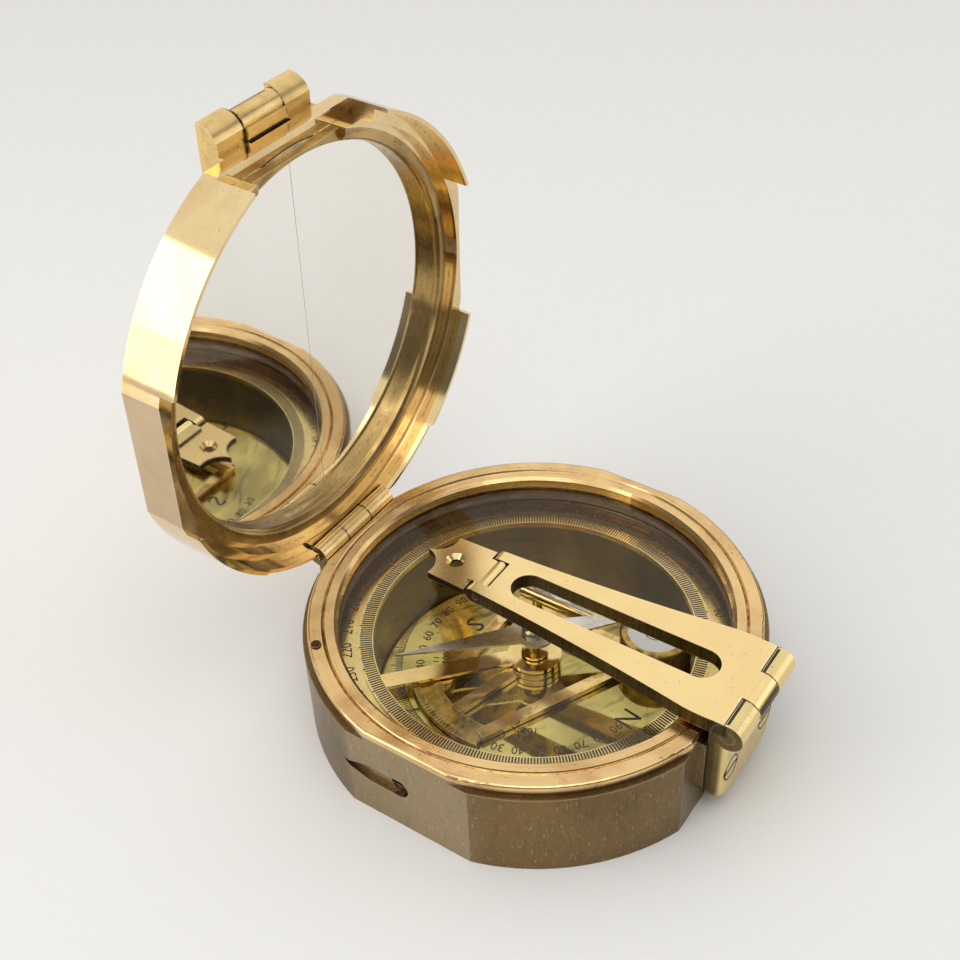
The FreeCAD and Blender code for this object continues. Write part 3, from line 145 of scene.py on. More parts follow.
# %% Lamps
def soft_box(name, place, target, width, height, radiance):
    """An area lamp aimed at the target, whose power grows with its area and the radiance."""
    lamp = bpy.data.lights.new(name, "AREA")
    lamp.shape = "RECTANGLE"
    lamp.size = width
    lamp.size_y = height
    lamp.energy = radiance * math.pi * width * height
    holder = bpy.data.objects.new(name, lamp)
    holder.location = place
    aim = Vector(target) - Vector(place)
    holder.rotation_euler = aim.to_track_quat("-Z", "Y").to_euler()
    bpy.context.scene.collection.objects.link(holder)


# Each lamp's place, width, height and radiance.
LAMPS = {
    "lamp_overhead": ((-0.14, -0.10, 0.55), 0.36, 0.36, 1.5),
    "lamp_back_left": ((-0.44, 0.36, 0.27), 0.40, 0.52, 1.9),
    "lamp_right_front": ((0.42, -0.40, 0.20), 0.34, 0.38, 1.1),
}
OBJECT_MIDDLE = (0, 0, 0.02)
for name, (place, width, height, radiance) in LAMPS.items():
    soft_box(name, place, OBJECT_MIDDLE, width, height, radiance)

# %% [markdown]
# ## Shared effects
# Brass that is handled darkens in its corners, with dirt and with painted shade where little light
# reaches, and stays bright on the edges it wears, and every surface keeps the marks of the tool that
# cut it. These effects come back in every finish, so each is a node group that is built once, with
# its own inputs, and put out as a mask or a height.

# %% Node helpers
def new_group(name, inputs, outputs):
    """A shader node group with float or vector inputs, given as (name, default), and float outputs."""
    tree = bpy.data.node_groups.new(name, "ShaderNodeTree")
    for label, default in inputs:
        kind = "NodeSocketVector" if label == "Vector" else "NodeSocketFloat"
        socket = tree.interface.new_socket(label, in_out="INPUT", socket_type=kind)
        if default is not None:
            socket.default_value = default
    for label in outputs:
        tree.interface.new_socket(label, in_out="OUTPUT", socket_type="NodeSocketFloat")
    return tree, tree.nodes.new("NodeGroupInput"), tree.nodes.new("NodeGroupOutput")


def put(socket, value, tree):
    """Gives a socket a link, if the value is another socket, or else a plain value."""
    if isinstance(value, bpy.types.NodeSocket):
        tree.links.new(value, socket)
    else:
        socket.default_value = value


def math_node(tree, operation, first, second=0.0, clamp=False):
    """The result of one sum on numbers or sockets."""
    node = tree.nodes.new("ShaderNodeMath")
    node.operation = operation
    node.use_clamp = clamp
    put(node.inputs[0], first, tree)
    put(node.inputs[1], second, tree)
    return node.outputs[0]


def spread(tree, value, low, high, to_low=0.0, to_high=1.0):
    """Maps low..high to to_low..to_high, smoothly and clamped."""
    node = tree.nodes.new("ShaderNodeMapRange")
    node.interpolation_type = "SMOOTHSTEP"
    put(node.inputs["Value"], value, tree)
    put(node.inputs["From Min"], low, tree)
    put(node.inputs["From Max"], high, tree)
    put(node.inputs["To Min"], to_low, tree)
    put(node.inputs["To Max"], to_high, tree)
    return node.outputs["Result"]


def noise(tree, vector, scale, detail=3.0, rough=0.55, distortion=0.0):
    """Cloudy grey values, 0 to 1 and mostly near a half."""
    node = tree.nodes.new("ShaderNodeTexNoise")
    put(node.inputs["Vector"], vector, tree)
    put(node.inputs["Scale"], scale, tree)
    node.inputs["Detail"].default_value = detail
    node.inputs["Roughness"].default_value = rough
    node.inputs["Distortion"].default_value = distortion
    return node.outputs["Fac"]


print("node helpers ready")


# %% Helpers for places on a piece
def vector_node(tree, operation, first, second=(0, 0, 0)):
    """The result of one sum on vectors: a vector, or a number for a dot product or a length."""
    node = tree.nodes.new("ShaderNodeVectorMath")
    node.operation = operation
    put(node.inputs[0], first, tree)
    put(node.inputs[1], second, tree)
    return node.outputs["Value" if operation in ("DOT_PRODUCT", "LENGTH") else "Vector"]


def stretched(tree, vector, factors):
    """The coordinates multiplied by one factor for each axis."""
    return vector_node(tree, "MULTIPLY", vector, factors)


def surface_point(tree):
    """Where a point of the piece is, in metres: its Object coordinates."""
    return tree.nodes.new("ShaderNodeTexCoord").outputs["Object"]


def axes_of(tree, vector):
    """The X, Y and Z of a vector, by name."""
    parts = tree.nodes.new("ShaderNodeSeparateXYZ")
    tree.links.new(vector, parts.inputs[0])
    return parts.outputs


def reach_of(tree, first, second):
    """The length of a vector that has these two parts."""
    squares = math_node(tree, "ADD", math_node(tree, "MULTIPLY", first, first),
                        math_node(tree, "MULTIPLY", second, second))
    return math_node(tree, "SQRT", squares)


def axis_share(tree, axis):
    """How squarely the piece's own surface faces along X, Y or Z, either way: 0 to 1."""
    normal = tree.nodes.new("ShaderNodeTexCoord").outputs["Normal"]
    return math_node(tree, "ABSOLUTE", axes_of(tree, normal)[axis])


print("place helpers ready")

# %% Edge wear and highlight, corner dirt and painted shade
def build_edge_wear():
    """White where the surface turns sharply within Radius: the Bevel node rounds the normal there."""
    tree, given, result = new_group("edge_wear_and_highlight", [("Radius", 0.3 * MM), ("Gain", 6.0)], ["Edge"])
    bevel = tree.nodes.new("ShaderNodeBevel")
    bevel.samples = 4
    tree.links.new(given.outputs["Radius"], bevel.inputs["Radius"])
    plain = tree.nodes.new("ShaderNodeNewGeometry")
    same = vector_node(tree, "DOT_PRODUCT", bevel.outputs["Normal"], plain.outputs["Normal"])
    turned = math_node(tree, "SUBTRACT", 1.0, same)
    edge = math_node(tree, "MULTIPLY", turned, given.outputs["Gain"], clamp=True)
    tree.links.new(edge, result.inputs["Edge"])
    return tree


def build_grime():
    """White in corners that little light reaches, as painted shade and as dirt, broken up by noise as
    old polish is.
    """
    tree, given, result = new_group("grime_and_shade", [("Distance", 0.8 * MM), ("Break up", 900.0)],
                                    ["Dirt"])
    shade = tree.nodes.new("ShaderNodeAmbientOcclusion")
    shade.samples = 6
    shade.only_local = False
    tree.links.new(given.outputs["Distance"], shade.inputs["Distance"])
    patches = noise(tree, surface_point(tree), given.outputs["Break up"])
    depth = math_node(tree, "SUBTRACT", 1.0, shade.outputs["AO"])
    uneven = spread(tree, patches, 0.3, 0.7, 0.55, 1.0)
    dirt = spread(tree, math_node(tree, "MULTIPLY", depth, uneven), 0.25, 0.85)
    tree.links.new(dirt, result.inputs["Dirt"])
    return tree


edge_wear_and_highlight = build_edge_wear()
grime_and_shade = build_grime()
print("made", edge_wear_and_highlight.name, grime_and_shade.name)


# %% Patina and tool marks
def cloud_mask(tree, place, scale):
    """Slow clouds, white where they are thick."""
    return spread(tree, noise(tree, place, scale, detail=5.0, distortion=0.4), 0.35, 0.68)


def build_patina():
    """Slow clouds of tarnish and small dark specks."""
    tree, given, result = new_group("patina", [("Cloud size", 90.0), ("Speck size", 1500.0)],
                                    ["Cloud", "Specks"])
    place = surface_point(tree)
    speck = noise(tree, place, given.outputs["Speck size"], detail=2.0)
    tree.links.new(cloud_mask(tree, place, given.outputs["Cloud size"]), result.inputs["Cloud"])
    tree.links.new(spread(tree, speck, 0.66, 0.74), result.inputs["Specks"])
    return tree


def build_grain():
    """Straight tool marks, and a Glints mask for painted highlights along them. The Vector comes in
    already stretched along the marks.
    """
    tree, given, result = new_group("grain", [("Vector", None), ("Fineness", 1.0)],
                                    ["Height", "Streaks", "Glints"])
    vector = given.outputs["Vector"]
    fine = noise(tree, vector, given.outputs["Fineness"], detail=4.0, rough=0.7)
    broad = noise(tree, vector, math_node(tree, "MULTIPLY", given.outputs["Fineness"], 0.31))
    tree.links.new(math_node(tree, "MULTIPLY", fine, 0.6), result.inputs["Height"])
    tree.links.new(spread(tree, broad, 0.52, 0.72), result.inputs["Streaks"])
    tree.links.new(spread(tree, fine, 0.60, 0.68), result.inputs["Glints"])
    return tree


patina = build_patina()
grain = build_grain()
print("made", patina.name, grain.name)

# %% Dirt in seams, and scratches
BARREL_IN, BARREL_OUT = 2.6 * MM, 2.9 * MM


def build_seam_dirt():
    """White on a hinge barrel beside two planes X = -Place and X = Place, broken into dots.

    Axis Y and Axis Z say where the barrel runs, so the plate below it stays clean.
    """
    tree, given, result = new_group("seam_dirt", [("Place", 3 * MM), ("Reach", 0.36 * MM),
                                                  ("Axis Y", 0.0), ("Axis Z", 0.0)], ["Dirt"])
    place = surface_point(tree)
    parts = axes_of(tree, place)
    offset = math_node(tree, "SUBTRACT", math_node(tree, "ABSOLUTE", parts["X"]),
                       given.outputs["Place"])
    offset = math_node(tree, "ABSOLUTE", offset)
    near = spread(tree, offset, given.outputs["Reach"], 0.0)
    dots = spread(tree, noise(tree, place, 1300.0), 0.36, 0.52)
    dots = math_node(tree, "MULTIPLY", dots, spread(tree, axis_share(tree, "X"), 0.9, 0.5))
    aside = math_node(tree, "SUBTRACT", parts["Y"], given.outputs["Axis Y"])
    above = math_node(tree, "SUBTRACT", parts["Z"], given.outputs["Axis Z"])
    barrel = spread(tree, reach_of(tree, aside, above), BARREL_OUT, BARREL_IN)
    dots = math_node(tree, "MULTIPLY", dots, barrel)
    tree.links.new(math_node(tree, "MULTIPLY", near, dots), result.inputs["Dirt"])
    return tree


def build_scratches():
    """Sparse hair-thin lines at two slants, as a cloth and a pocket leave them."""
    tree, given, result = new_group("scratches", [("Vector", None)], ["Lines"])
    layers = []
    for slant, along, across in ((28, 210, 8200), (-57, 330, 9600)):
        turned = tree.nodes.new("ShaderNodeMapping")
        turned.inputs["Rotation"].default_value = (math.radians(slant), 0.3, math.radians(slant))
        tree.links.new(given.outputs["Vector"], turned.inputs["Vector"])
        lines = noise(tree, stretched(tree, turned.outputs["Vector"], (along, across, across)), 1.0,
                      detail=1.0)
        layers.append(spread(tree, lines, 0.71, 0.75))
    tree.links.new(math_node(tree, "ADD", layers[0], layers[1], clamp=True), result.inputs["Lines"])
    return tree


scratches = build_scratches()
seam_dirt = build_seam_dirt()
print("effects:", [group.name for group in bpy.data.node_groups])

# %% [markdown]
# ## Brass
# All the metal here is one alloy with different histories. A function makes every finish of it, and
# what differs is named: how pale the polish is, what colour the tarnish runs to, how rough it is and
# which way the tool marks run. Marks along a straight piece stretch the coordinates along one axis.
# On a turned ring they follow its angle, so those coordinates are the angle, radius and height.

# %% The brass function
def linear(red, green, blue):
    """Shader colour of an 8-bit display colour."""
    def one(value):
        value = value / 255
        return value / 12.92 if value <= 0.04045 else ((value + 0.055) / 1.055) ** 2.4
    return (one(red), one(green), one(blue), 1.0)


def group_node(tree, group, **values):
    """A node group placed in a material, with its inputs set by name."""
    node = tree.nodes.new("ShaderNodeGroup")
    node.node_tree = group
    for label, value in values.items():
        put(node.inputs[label.replace("_", " ")], value, tree)
    return node


def blended(tree, mask, first, second):
    """Mixes two colours by a mask."""
    node = tree.nodes.new("ShaderNodeMix")
    node.data_type = "RGBA"
    put(node.inputs["Factor"], mask, tree)
    put(node.inputs["A"], first, tree)
    put(node.inputs["B"], second, tree)
    return node.outputs["Result"]


def straight_coords(tree, factors, turn_degrees=0.0):
    """Object coordinates stretched along straight marks, after a turn about Z."""
    mapping = tree.nodes.new("ShaderNodeMapping")
    mapping.inputs["Rotation"].default_value = (0, 0, math.radians(turn_degrees))
    tree.links.new(surface_point(tree), mapping.inputs["Vector"])
    return stretched(tree, mapping.outputs["Vector"], factors)


def facing(tree, axis, low, high):
    """White where the piece's own surface faces along the axis X, Y or Z, either way."""
    return spread(tree, axis_share(tree, axis), low, high)


def turned_coords(tree, factors, centre=(0, 0, 0), upright=False):
    """Angle, radius and height about an axis: Z, or Y if the piece stands upright."""
    parts = axes_of(tree, vector_node(tree, "SUBTRACT", surface_point(tree), centre))
    first = parts["X"]
    second = parts["Z" if upright else "Y"]
    along = parts["Y" if upright else "Z"]
    angle = math_node(tree, "ARCTAN2", second, first)
    radius = reach_of(tree, first, second)
    joined = tree.nodes.new("ShaderNodeCombineXYZ")
    for socket, value in zip(joined.inputs, (angle, radius, along)):
        tree.links.new(value, socket)
    return stretched(tree, joined.outputs[0], factors)


def brass(name, bright, tarnish, rough, coords, tarnish_share=0.5, wear=0.6, bump=0.15,
          cloud_size=90.0, grime_and_shade_distance=0.8 * MM, rough_spread=0.12, scratched=0.35, glints=0.0,
          seam=None, second=None):
    """A brass finish: bright metal, tarnish clouds, corners dark with dirt and painted shade, pale
    edges of wear, painted glints and tool marks.

    second is a function that gives a mask, then the bright and tarnished colour and the roughness
    that hold where the mask is white, such as a file-finished side below a polished top, or sides
    darkened as painted shade. seam is a hinge joint's name, then the distance from the middle at which
    its barrel is cut across and lined with dirt. bump is a number, or a function that gives a mask.
    """
    material, shader = new_material(name)
    tree = material.node_tree
    marks = group_node(tree, grain, Vector=coords(tree))
    clouds = group_node(tree, patina, Cloud_size=cloud_size)
    corners = group_node(tree, grime_and_shade, Distance=grime_and_shade_distance)
    edges = group_node(tree, edge_wear_and_highlight)
    lines = group_node(tree, scratches, Vector=surface_point(tree)).outputs["Lines"]
    if second:
        mask = second[0](tree)
        bright = blended(tree, mask, bright, second[1])
        tarnish = blended(tree, mask, tarnish, second[2])
        rough = spread(tree, mask, 0.0, 1.0, rough, second[3])
    share = math_node(tree, "MULTIPLY", clouds.outputs["Cloud"], tarnish_share)
    share = math_node(tree, "ADD", share, math_node(tree, "MULTIPLY", marks.outputs["Streaks"],
                                                    0.5 * tarnish_share), clamp=True)
    colour = blended(tree, share, bright, tarnish)
    pale = blended(tree, 0.5, bright, WEAR_AND_GLINT_PALE)
    wear_and_glint = math_node(tree, "MULTIPLY", edges.outputs["Edge"], wear)
    wear_and_glint = math_node(tree, "ADD", wear_and_glint, math_node(tree, "MULTIPLY", lines, scratched), clamp=True)
    # Glints are painted highlights: pale dashes along the tool marks.
    painted_glint = math_node(tree, "MULTIPLY", marks.outputs["Glints"], glints)
    wear_and_glint = math_node(tree, "ADD", wear_and_glint, painted_glint, clamp=True)
    colour = blended(tree, wear_and_glint, colour, pale)
    # Corners darken by an occlusion mask: dirt, and painted shade where little light reaches.
    colour = blended(tree, corners.outputs["Dirt"], colour, GRIME_AND_SHADE_COLOUR)
    specks = math_node(tree, "MULTIPLY", clouds.outputs["Specks"], 0.7 * tarnish_share)
    colour = blended(tree, specks, colour, GRIME_AND_SHADE_COLOUR)
    if seam:
        spot = hinge_spot(seam[0])
        joint = group_node(tree, seam_dirt, Place=seam[1], Axis_Y=spot.y, Axis_Z=spot.z)
        colour = blended(tree, joint.outputs["Dirt"], colour, GRIME_AND_SHADE_COLOUR)
    tree.links.new(colour, shader.inputs["Base Color"])
    shader.inputs["Metallic"].default_value = 1.0
    dull = math_node(tree, "ADD", share, corners.outputs["Dirt"])
    dull = math_node(tree, "MULTIPLY", dull, rough_spread)
    dull = math_node(tree, "ADD", dull, math_node(tree, "MULTIPLY", lines, 0.3 * scratched))
    tree.links.new(math_node(tree, "ADD", dull, rough, clamp=True), shader.inputs["Roughness"])
    relief = tree.nodes.new("ShaderNodeBump")
    put(relief.inputs["Strength"], bump(tree) if callable(bump) else bump, tree)
    relief.inputs["Distance"].default_value = MARK_DEPTH
    tree.links.new(marks.outputs["Height"], relief.inputs["Height"])
    tree.links.new(relief.outputs["Normal"], shader.inputs["Normal"])
    return material


def joint_called(name):
    """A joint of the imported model, by its name."""
    return next(j for j in frame["joints"] if j["name"] == name)


def hinge_spot(name):
    """Where a joint's axis passes, in metres."""
    return Vector(joint_called(name)["pos_m"])


# The dark brown of dirt, specks and seams, also used for the painted shade in corners.
GRIME_AND_SHADE_COLOUR = linear(52, 38, 18)
WEAR_AND_GLINT_PALE = (1, 0.94, 0.80, 1)
MARK_DEPTH = 0.05 * MM
print("brass ready, grime", [round(c, 3) for c in GRIME_AND_SHADE_COLOUR])

# %% Masks for a part of a piece
def upright_side(tree):
    """White on a flat piece's upright sides."""
    return math_node(tree, "SUBTRACT", 1.0, facing(tree, "Z", 0.45, 0.75))


def lid_flat(tree):
    """White on the lid's long flats, which were only filed."""
    return facing(tree, "X", 0.9985, 0.9995)


def side_flat(tree):
    """White on the case's side flats, which were ground finer than the round parts."""
    return facing(tree, "X", 0.93, 0.99)


def case_outside(tree):
    """The tool marks' depth on the case: full outside, none on the bored inside."""
    parts = axes_of(tree, surface_point(tree))
    return spread(tree, reach_of(tree, parts["X"], parts["Y"]), 32 * MM, 33 * MM, 0.0, 0.9)


def filed_side(tree):
    """White on a flat piece's upright sides, which are filed and darkened as painted shade, with the
    lines that a file leaves across them.
    """
    lines = noise(tree, stretched(tree, surface_point(tree), (60, 9000, 60)), 1.0, detail=0.0)
    return math_node(tree, "MULTIPLY", upright_side(tree), spread(tree, lines, 0.40, 0.66, 0.94, 1.0))


def cast_arc(tree):
    """White on the vernier's curved end, which was left as it was cast."""
    return spread(tree, vector_node(tree, "LENGTH", surface_point(tree)), 16 * MM, 17 * MM)


print("masks ready")

# %% Brass of the case, the arm and the hinges
# The case's sides carry painted glints along their tool marks.
case_side = brass("case_side_brass", linear(132, 108, 70), linear(98, 78, 48), 0.30,
                  lambda t: straight_coords(t, (3600, 3600, 700)), tarnish_share=0.55,
                  bump=case_outside, scratched=0.5, cloud_size=45.0, glints=0.6,
                  second=(side_flat, linear(168, 148, 114), linear(144, 124, 92), 0.26))
bezel_top = brass("bezel_brass", linear(240, 204, 144), linear(186, 142, 88), 0.13,
                  lambda t: turned_coords(t, (5, 4200, 4200)), tarnish_share=0.6, bump=0.35,
                  grime_and_shade_distance=0.9 * MM)
# The arm's upright sides are filed, and their near-black brass is also painted shade.
arm_flat = brass("arm_brass", linear(253, 224, 160), linear(240, 202, 134), 0.17,
                 lambda t: straight_coords(t, (900, 240, 900)), tarnish_share=0.3, bump=0.08,
                 second=(filed_side, linear(66, 54, 30), linear(22, 17, 8), 0.36))
# Faces turned along X, the barrel ends, get a darker brass: painted shade.
knuckle_brass = brass("knuckle_brass", linear(240, 208, 144), linear(178, 140, 84), 0.20,
                      lambda t: straight_coords(t, (160, 3000, 3000)), bump=0.3,
                      seam=("lid_hinge", 2.95 * MM),
                      second=(lambda t: facing(t, "X", 0.55, 0.95), linear(120, 102, 62),
                              linear(58, 46, 24), 0.3))
peep_brass = brass("peep_brass", linear(240, 208, 142), linear(164, 132, 76), 0.26,
                   lambda t: straight_coords(t, (700, 1800, 1800)), bump=0.15, tarnish_share=0.5,
                   seam=("lid_sight_hinge", 4.15 * MM))
# The lug's faces turned along X get a darker brass: painted shade.
lug_brass = brass("lug_brass", linear(240, 216, 152), linear(208, 182, 116), 0.22,
                  lambda t: straight_coords(t, (1800, 1800, 240)), bump=0.3,
                  seam=("sight_arm_hinge", 2.95 * MM),
                  second=(lambda t: facing(t, "X", 0.60, 0.95), linear(120, 102, 62),
                          linear(58, 46, 24), 0.3))
print("outer finishes:", case_side.name, bezel_top.name, arm_flat.name, knuckle_brass.name,
      peep_brass.name, lug_brass.name)

# %% Brass of the lid
LID_CENTRE = sum(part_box("mirror"), Vector()) / 2
lid_side = brass("lid_brass", linear(238, 212, 160), linear(206, 170, 118), 0.07,
                 lambda t: turned_coords(t, (30, 900, 900), LID_CENTRE, upright=True),
                 tarnish_share=0.4, bump=0.08,
                 second=(lid_flat, linear(214, 190, 156), linear(186, 160, 128), 0.33))
lid_ring = brass("mirror_ring_brass", linear(200, 168, 110), linear(108, 84, 44), 0.20,
                 lambda t: turned_coords(t, (9, 2600, 2600), LID_CENTRE, upright=True),
                 tarnish_share=0.7, bump=0.2)
print("lid finishes:", lid_side.name, lid_ring.name)

# %% Brass inside the case
# The floor plate's dark olive clouds are partly tarnish and partly painted reflection of dark
# surroundings.
plate_brass = brass("plate_brass", linear(204, 188, 112), linear(76, 62, 26), 0.04,
                    lambda t: straight_coords(t, (500, 2500, 500), 30), tarnish_share=0.6,
                    bump=0.02, cloud_size=60.0, rough_spread=0.05)
strip_brass = brass("strip_brass", linear(246, 216, 146), linear(190, 158, 92), 0.10,
                    lambda t: straight_coords(t, (300, 2500, 500), 136), tarnish_share=0.4,
                    bump=0.05)
vernier_brass = brass("vernier_brass", linear(240, 208, 140), linear(180, 146, 84), 0.12,
                      lambda t: straight_coords(t, (1500, 1500, 1500)), tarnish_share=0.75,
                      bump=0.3, cloud_size=420.0,
                      second=(cast_arc, linear(200, 168, 92), linear(66, 50, 20), 0.30))
circle_brass = brass("circle_brass", linear(238, 212, 142), linear(166, 138, 82), 0.17,
                     lambda t: turned_coords(t, (40, 2600, 2600)), bump=0.04)
dark_brass = brass("inner_brass", linear(134, 114, 76), linear(78, 64, 38), 0.30,
                   lambda t: turned_coords(t, (2, 600, 900)), scratched=0.1, bump=0.0)
print("inner finishes:", plate_brass.name, strip_brass.name, vernier_brass.name, circle_brass.name,
      dark_brass.name)

# %% [markdown]
# ## Steel, glass, mirror and rubber
# The window is two flat faces with air inside the shader: a transparent surface that turns into a
# mirror at a grazing angle, which Fresnel gives. Plain refraction would need far more light paths
# for a pane this flat. The mirror is old silver, slightly clouded, and the vials hold spirit.

# %% Glass
GLASS_IOR = 1.45


def glassy(name, tint, body_share, rough, clouding):
    """Clear glass: see-through, with a sheen by Fresnel and a thin body of its own colour."""
    material, shader = new_material(name)
    tree = material.node_tree
    shader.inputs["Base Color"].default_value = tint
    shader.inputs["Roughness"].default_value = rough
    shader.inputs["Metallic"].default_value = 1.0
    clear = tree.nodes.new("ShaderNodeBsdfTransparent")
    mix = tree.nodes.new("ShaderNodeMixShader")
    glance = tree.nodes.new("ShaderNodeFresnel")
    glance.inputs["IOR"].default_value = GLASS_IOR
    side = tree.nodes.new("ShaderNodeNewGeometry")
    outside = math_node(tree, "SUBTRACT", 1.0, side.outputs["Backfacing"])
    haze = math_node(tree, "MULTIPLY", cloud_mask(tree, surface_point(tree), 40.0), clouding)
    share = math_node(tree, "ADD", glance.outputs[0], body_share)
    share = math_node(tree, "ADD", share, haze, clamp=True)
    share = math_node(tree, "MULTIPLY", share, outside)
    tree.links.new(share, mix.inputs["Fac"])
    tree.links.new(clear.outputs[0], mix.inputs[1])
    tree.links.new(shader.outputs[0], mix.inputs[2])
    tree.links.new(mix.outputs[0], tree.nodes["Material Output"].inputs["Surface"])
    return material


window = glassy("window_glass", (0.95, 0.86, 0.70, 1), 0.0, 0.02, 0.0)
vial_glass = glassy("vial_glass", (0.62, 0.62, 0.52, 1), 0.45, 0.10, 0.1)
level_glass = glassy("level_glass", (0.60, 0.59, 0.55, 1), 0.80, 0.16, 0.1)
print("glass:", window.name, vial_glass.name, level_glass.name)

# %% Mirror
mirror_glass, shader = new_material("mirror_glass")
tree = mirror_glass.node_tree
film = group_node(tree, patina, Cloud_size=25.0)
# The silver darkens at its edge by an occlusion mask: painted shade beside the retaining ring, with
# some dirt.
rim_grime_and_shade = group_node(tree, grime_and_shade, Distance=0.9 * MM)
wipes = group_node(tree, scratches, Vector=surface_point(tree))
shader.inputs["Metallic"].default_value = 1.0
silver = blended(tree, math_node(tree, "MULTIPLY", film.outputs["Cloud"], 0.6),
                 (0.97, 0.95, 0.90, 1), (0.91, 0.88, 0.82, 1))
silver = blended(tree, rim_grime_and_shade.outputs["Dirt"], silver, linear(74, 66, 42))
tree.links.new(silver, shader.inputs["Base Color"])
haze = spread(tree, film.outputs["Cloud"], 0, 1, 0.015, 0.045)
haze = math_node(tree, "ADD", haze, math_node(tree, "MULTIPLY", wipes.outputs["Lines"], 0.10))
tree.links.new(haze, shader.inputs["Roughness"])
print("mirror:", mirror_glass.name)

# %% Brass of the small parts, steel and rubber
pin_brass = brass("lift_pin_brass", linear(110, 66, 34), linear(52, 26, 14), 0.4,
                  lambda t: straight_coords(t, (1500, 1500, 1500)), tarnish_share=0.8)
# The adjusting screw carries painted glints too.
screw_brass = brass("adjusting_screw_brass", linear(104, 84, 50), linear(28, 20, 9), 0.30,
                    lambda t: straight_coords(t, (1200, 1200, 1200)), tarnish_share=0.9,
                    glints=0.5, cloud_size=700.0)
cap_brass = brass("cap_brass", linear(168, 156, 118), linear(96, 84, 56), 0.12,
                  lambda t: turned_coords(t, (20, 1400, 1400)), bump=0.05)

steel, shader = new_material("steel")
tree = steel.node_tree
film = group_node(tree, patina, Cloud_size=260.0)
# The steel's paler edges are a painted highlight, drawn by the Bevel mask.
edges = group_node(tree, edge_wear_and_highlight, Radius=0.12 * MM)
shader.inputs["Metallic"].default_value = 1.0
base = blended(tree, film.outputs["Cloud"], linear(222, 219, 208), linear(186, 180, 162))
tree.links.new(blended(tree, edges.outputs["Edge"], base, linear(246, 244, 236)),
               shader.inputs["Base Color"])
tree.links.new(spread(tree, film.outputs["Cloud"], 0.0, 1.0, 0.24, 0.34), shader.inputs["Roughness"])


def clouded(name, cloud_size, thin, thick, rough):
    """A dull filling of one stuff, such as rubber or wax, in clouds of two colours."""
    material, shader = new_material(name)
    tree = material.node_tree
    film = group_node(tree, patina, Cloud_size=cloud_size)
    tree.links.new(blended(tree, film.outputs["Cloud"], thin, thick), shader.inputs["Base Color"])
    shader.inputs["Roughness"].default_value = rough
    return material


rubber = clouded("seal_rubber", 300.0, linear(92, 70, 54), linear(120, 96, 76), 0.7)
print("other finishes:", steel.name, rubber.name)

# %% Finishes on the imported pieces
FINISHES = {
    case_side: ["case_body", "case_leaf_screws", "clinometer_lever"],
    bezel_top: ["bezel_ring"],
    pin_brass: ["lift_pin"],
    arm_flat: ["sight_arm", "sight_tip", "arm_tip_pin"],
    knuckle_brass: ["sight_hinge_pin", "case_hinge_leaf", "lid_hinge_pin", "lid_hinge_leaf",
                    "lid_leaf_screws"],
    lug_brass: ["sight_hinge_lug", "lug_screws"],
    peep_brass: ["peep_hinge_base", "peep_hinge_pin", "lid_peep_sight"],
    lid_side: ["lid_shell"],
    lid_ring: ["mirror_retaining_ring"],
    plate_brass: ["scale_plate", "scale_plate_screws"],
    strip_brass: ["needle_lift_lever"],
    vernier_brass: ["vernier_arm", "round_level_housing"],
    circle_brass: ["graduated_circle", "long_level_housing"],
    screw_brass: ["adjusting_screw"],
    cap_brass: ["needle_cap"],
    dark_brass: ["dial_support_ring", "clinometer_axle", "spring_washer", "lift_collar"],
    window: ["window_glass"],
    vial_glass: ["long_level_vial"],
    level_glass: ["round_level_vial"],
    mirror_glass: ["mirror"],
    steel: ["compass_needle", "pivot_pin"],
    rubber: ["glass_seal"],
}
for finish, names in FINISHES.items():
    for name in names:
        nodes[name].data.materials.clear()
        nodes[name].data.materials.append(finish)
bare = sorted(set(nodes) - {name for names in FINISHES.values() for name in names})
print("pieces without a finish:", bare)

# %% [markdown]
# ## Graduations and numbers
# The turning circle carries 360 fine marks on its raised ring and a number at every tenth on the
# lower ring outside it. They are cut and filled with dark wax. A mark is a thin flat block, and a
# loop places 360 of them. The numbers are text curves, made a mesh and laid round the ring.

# %% Wax, and where the marks go
wax = clouded("engraving_wax", 700.0, linear(26, 19, 9), linear(54, 41, 21), 0.55)
line_wax = clouded("line_wax", 120.0, linear(150, 143, 128), linear(206, 200, 186), 0.5)


def ring_span(name, height):
    """Smallest and largest radius of a node's corners at a height, all in millimetres."""
    radii = [math.hypot(v.co.x, v.co.y) / MM for v in nodes[name].data.vertices
             if abs(v.co.z / MM - height) < 0.01]
    return min(radii), max(radii)


INK = 0.02
NUMBER_STEP_DOWN = 0.4
TICK_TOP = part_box("graduated_circle")[1].z / MM
TICK_IN, TICK_OUT = ring_span("graduated_circle", TICK_TOP)
NUMBER_TOP = TICK_TOP - NUMBER_STEP_DOWN
NUMBER_IN, NUMBER_OUT = ring_span("graduated_circle", NUMBER_TOP)
NUMBER_R = 0.5 * (NUMBER_IN + NUMBER_OUT) - 0.1
print("tick ring", round(TICK_IN, 2), round(TICK_OUT, 2), "number ring to", round(NUMBER_OUT, 2))

# %% Blocks, rings and placing
SAME_SPOT = 0.0001
ARC_STEP = 2


def add_block(shape, length, width, height, place):
    """One flat block along local X, added to a bmesh and moved by the matrix place."""
    made = bmesh.ops.create_cube(shape, size=1.0)["verts"]
    bmesh.ops.scale(shape, vec=(length, width, height), verts=made)
    bmesh.ops.transform(shape, matrix=place, verts=made)


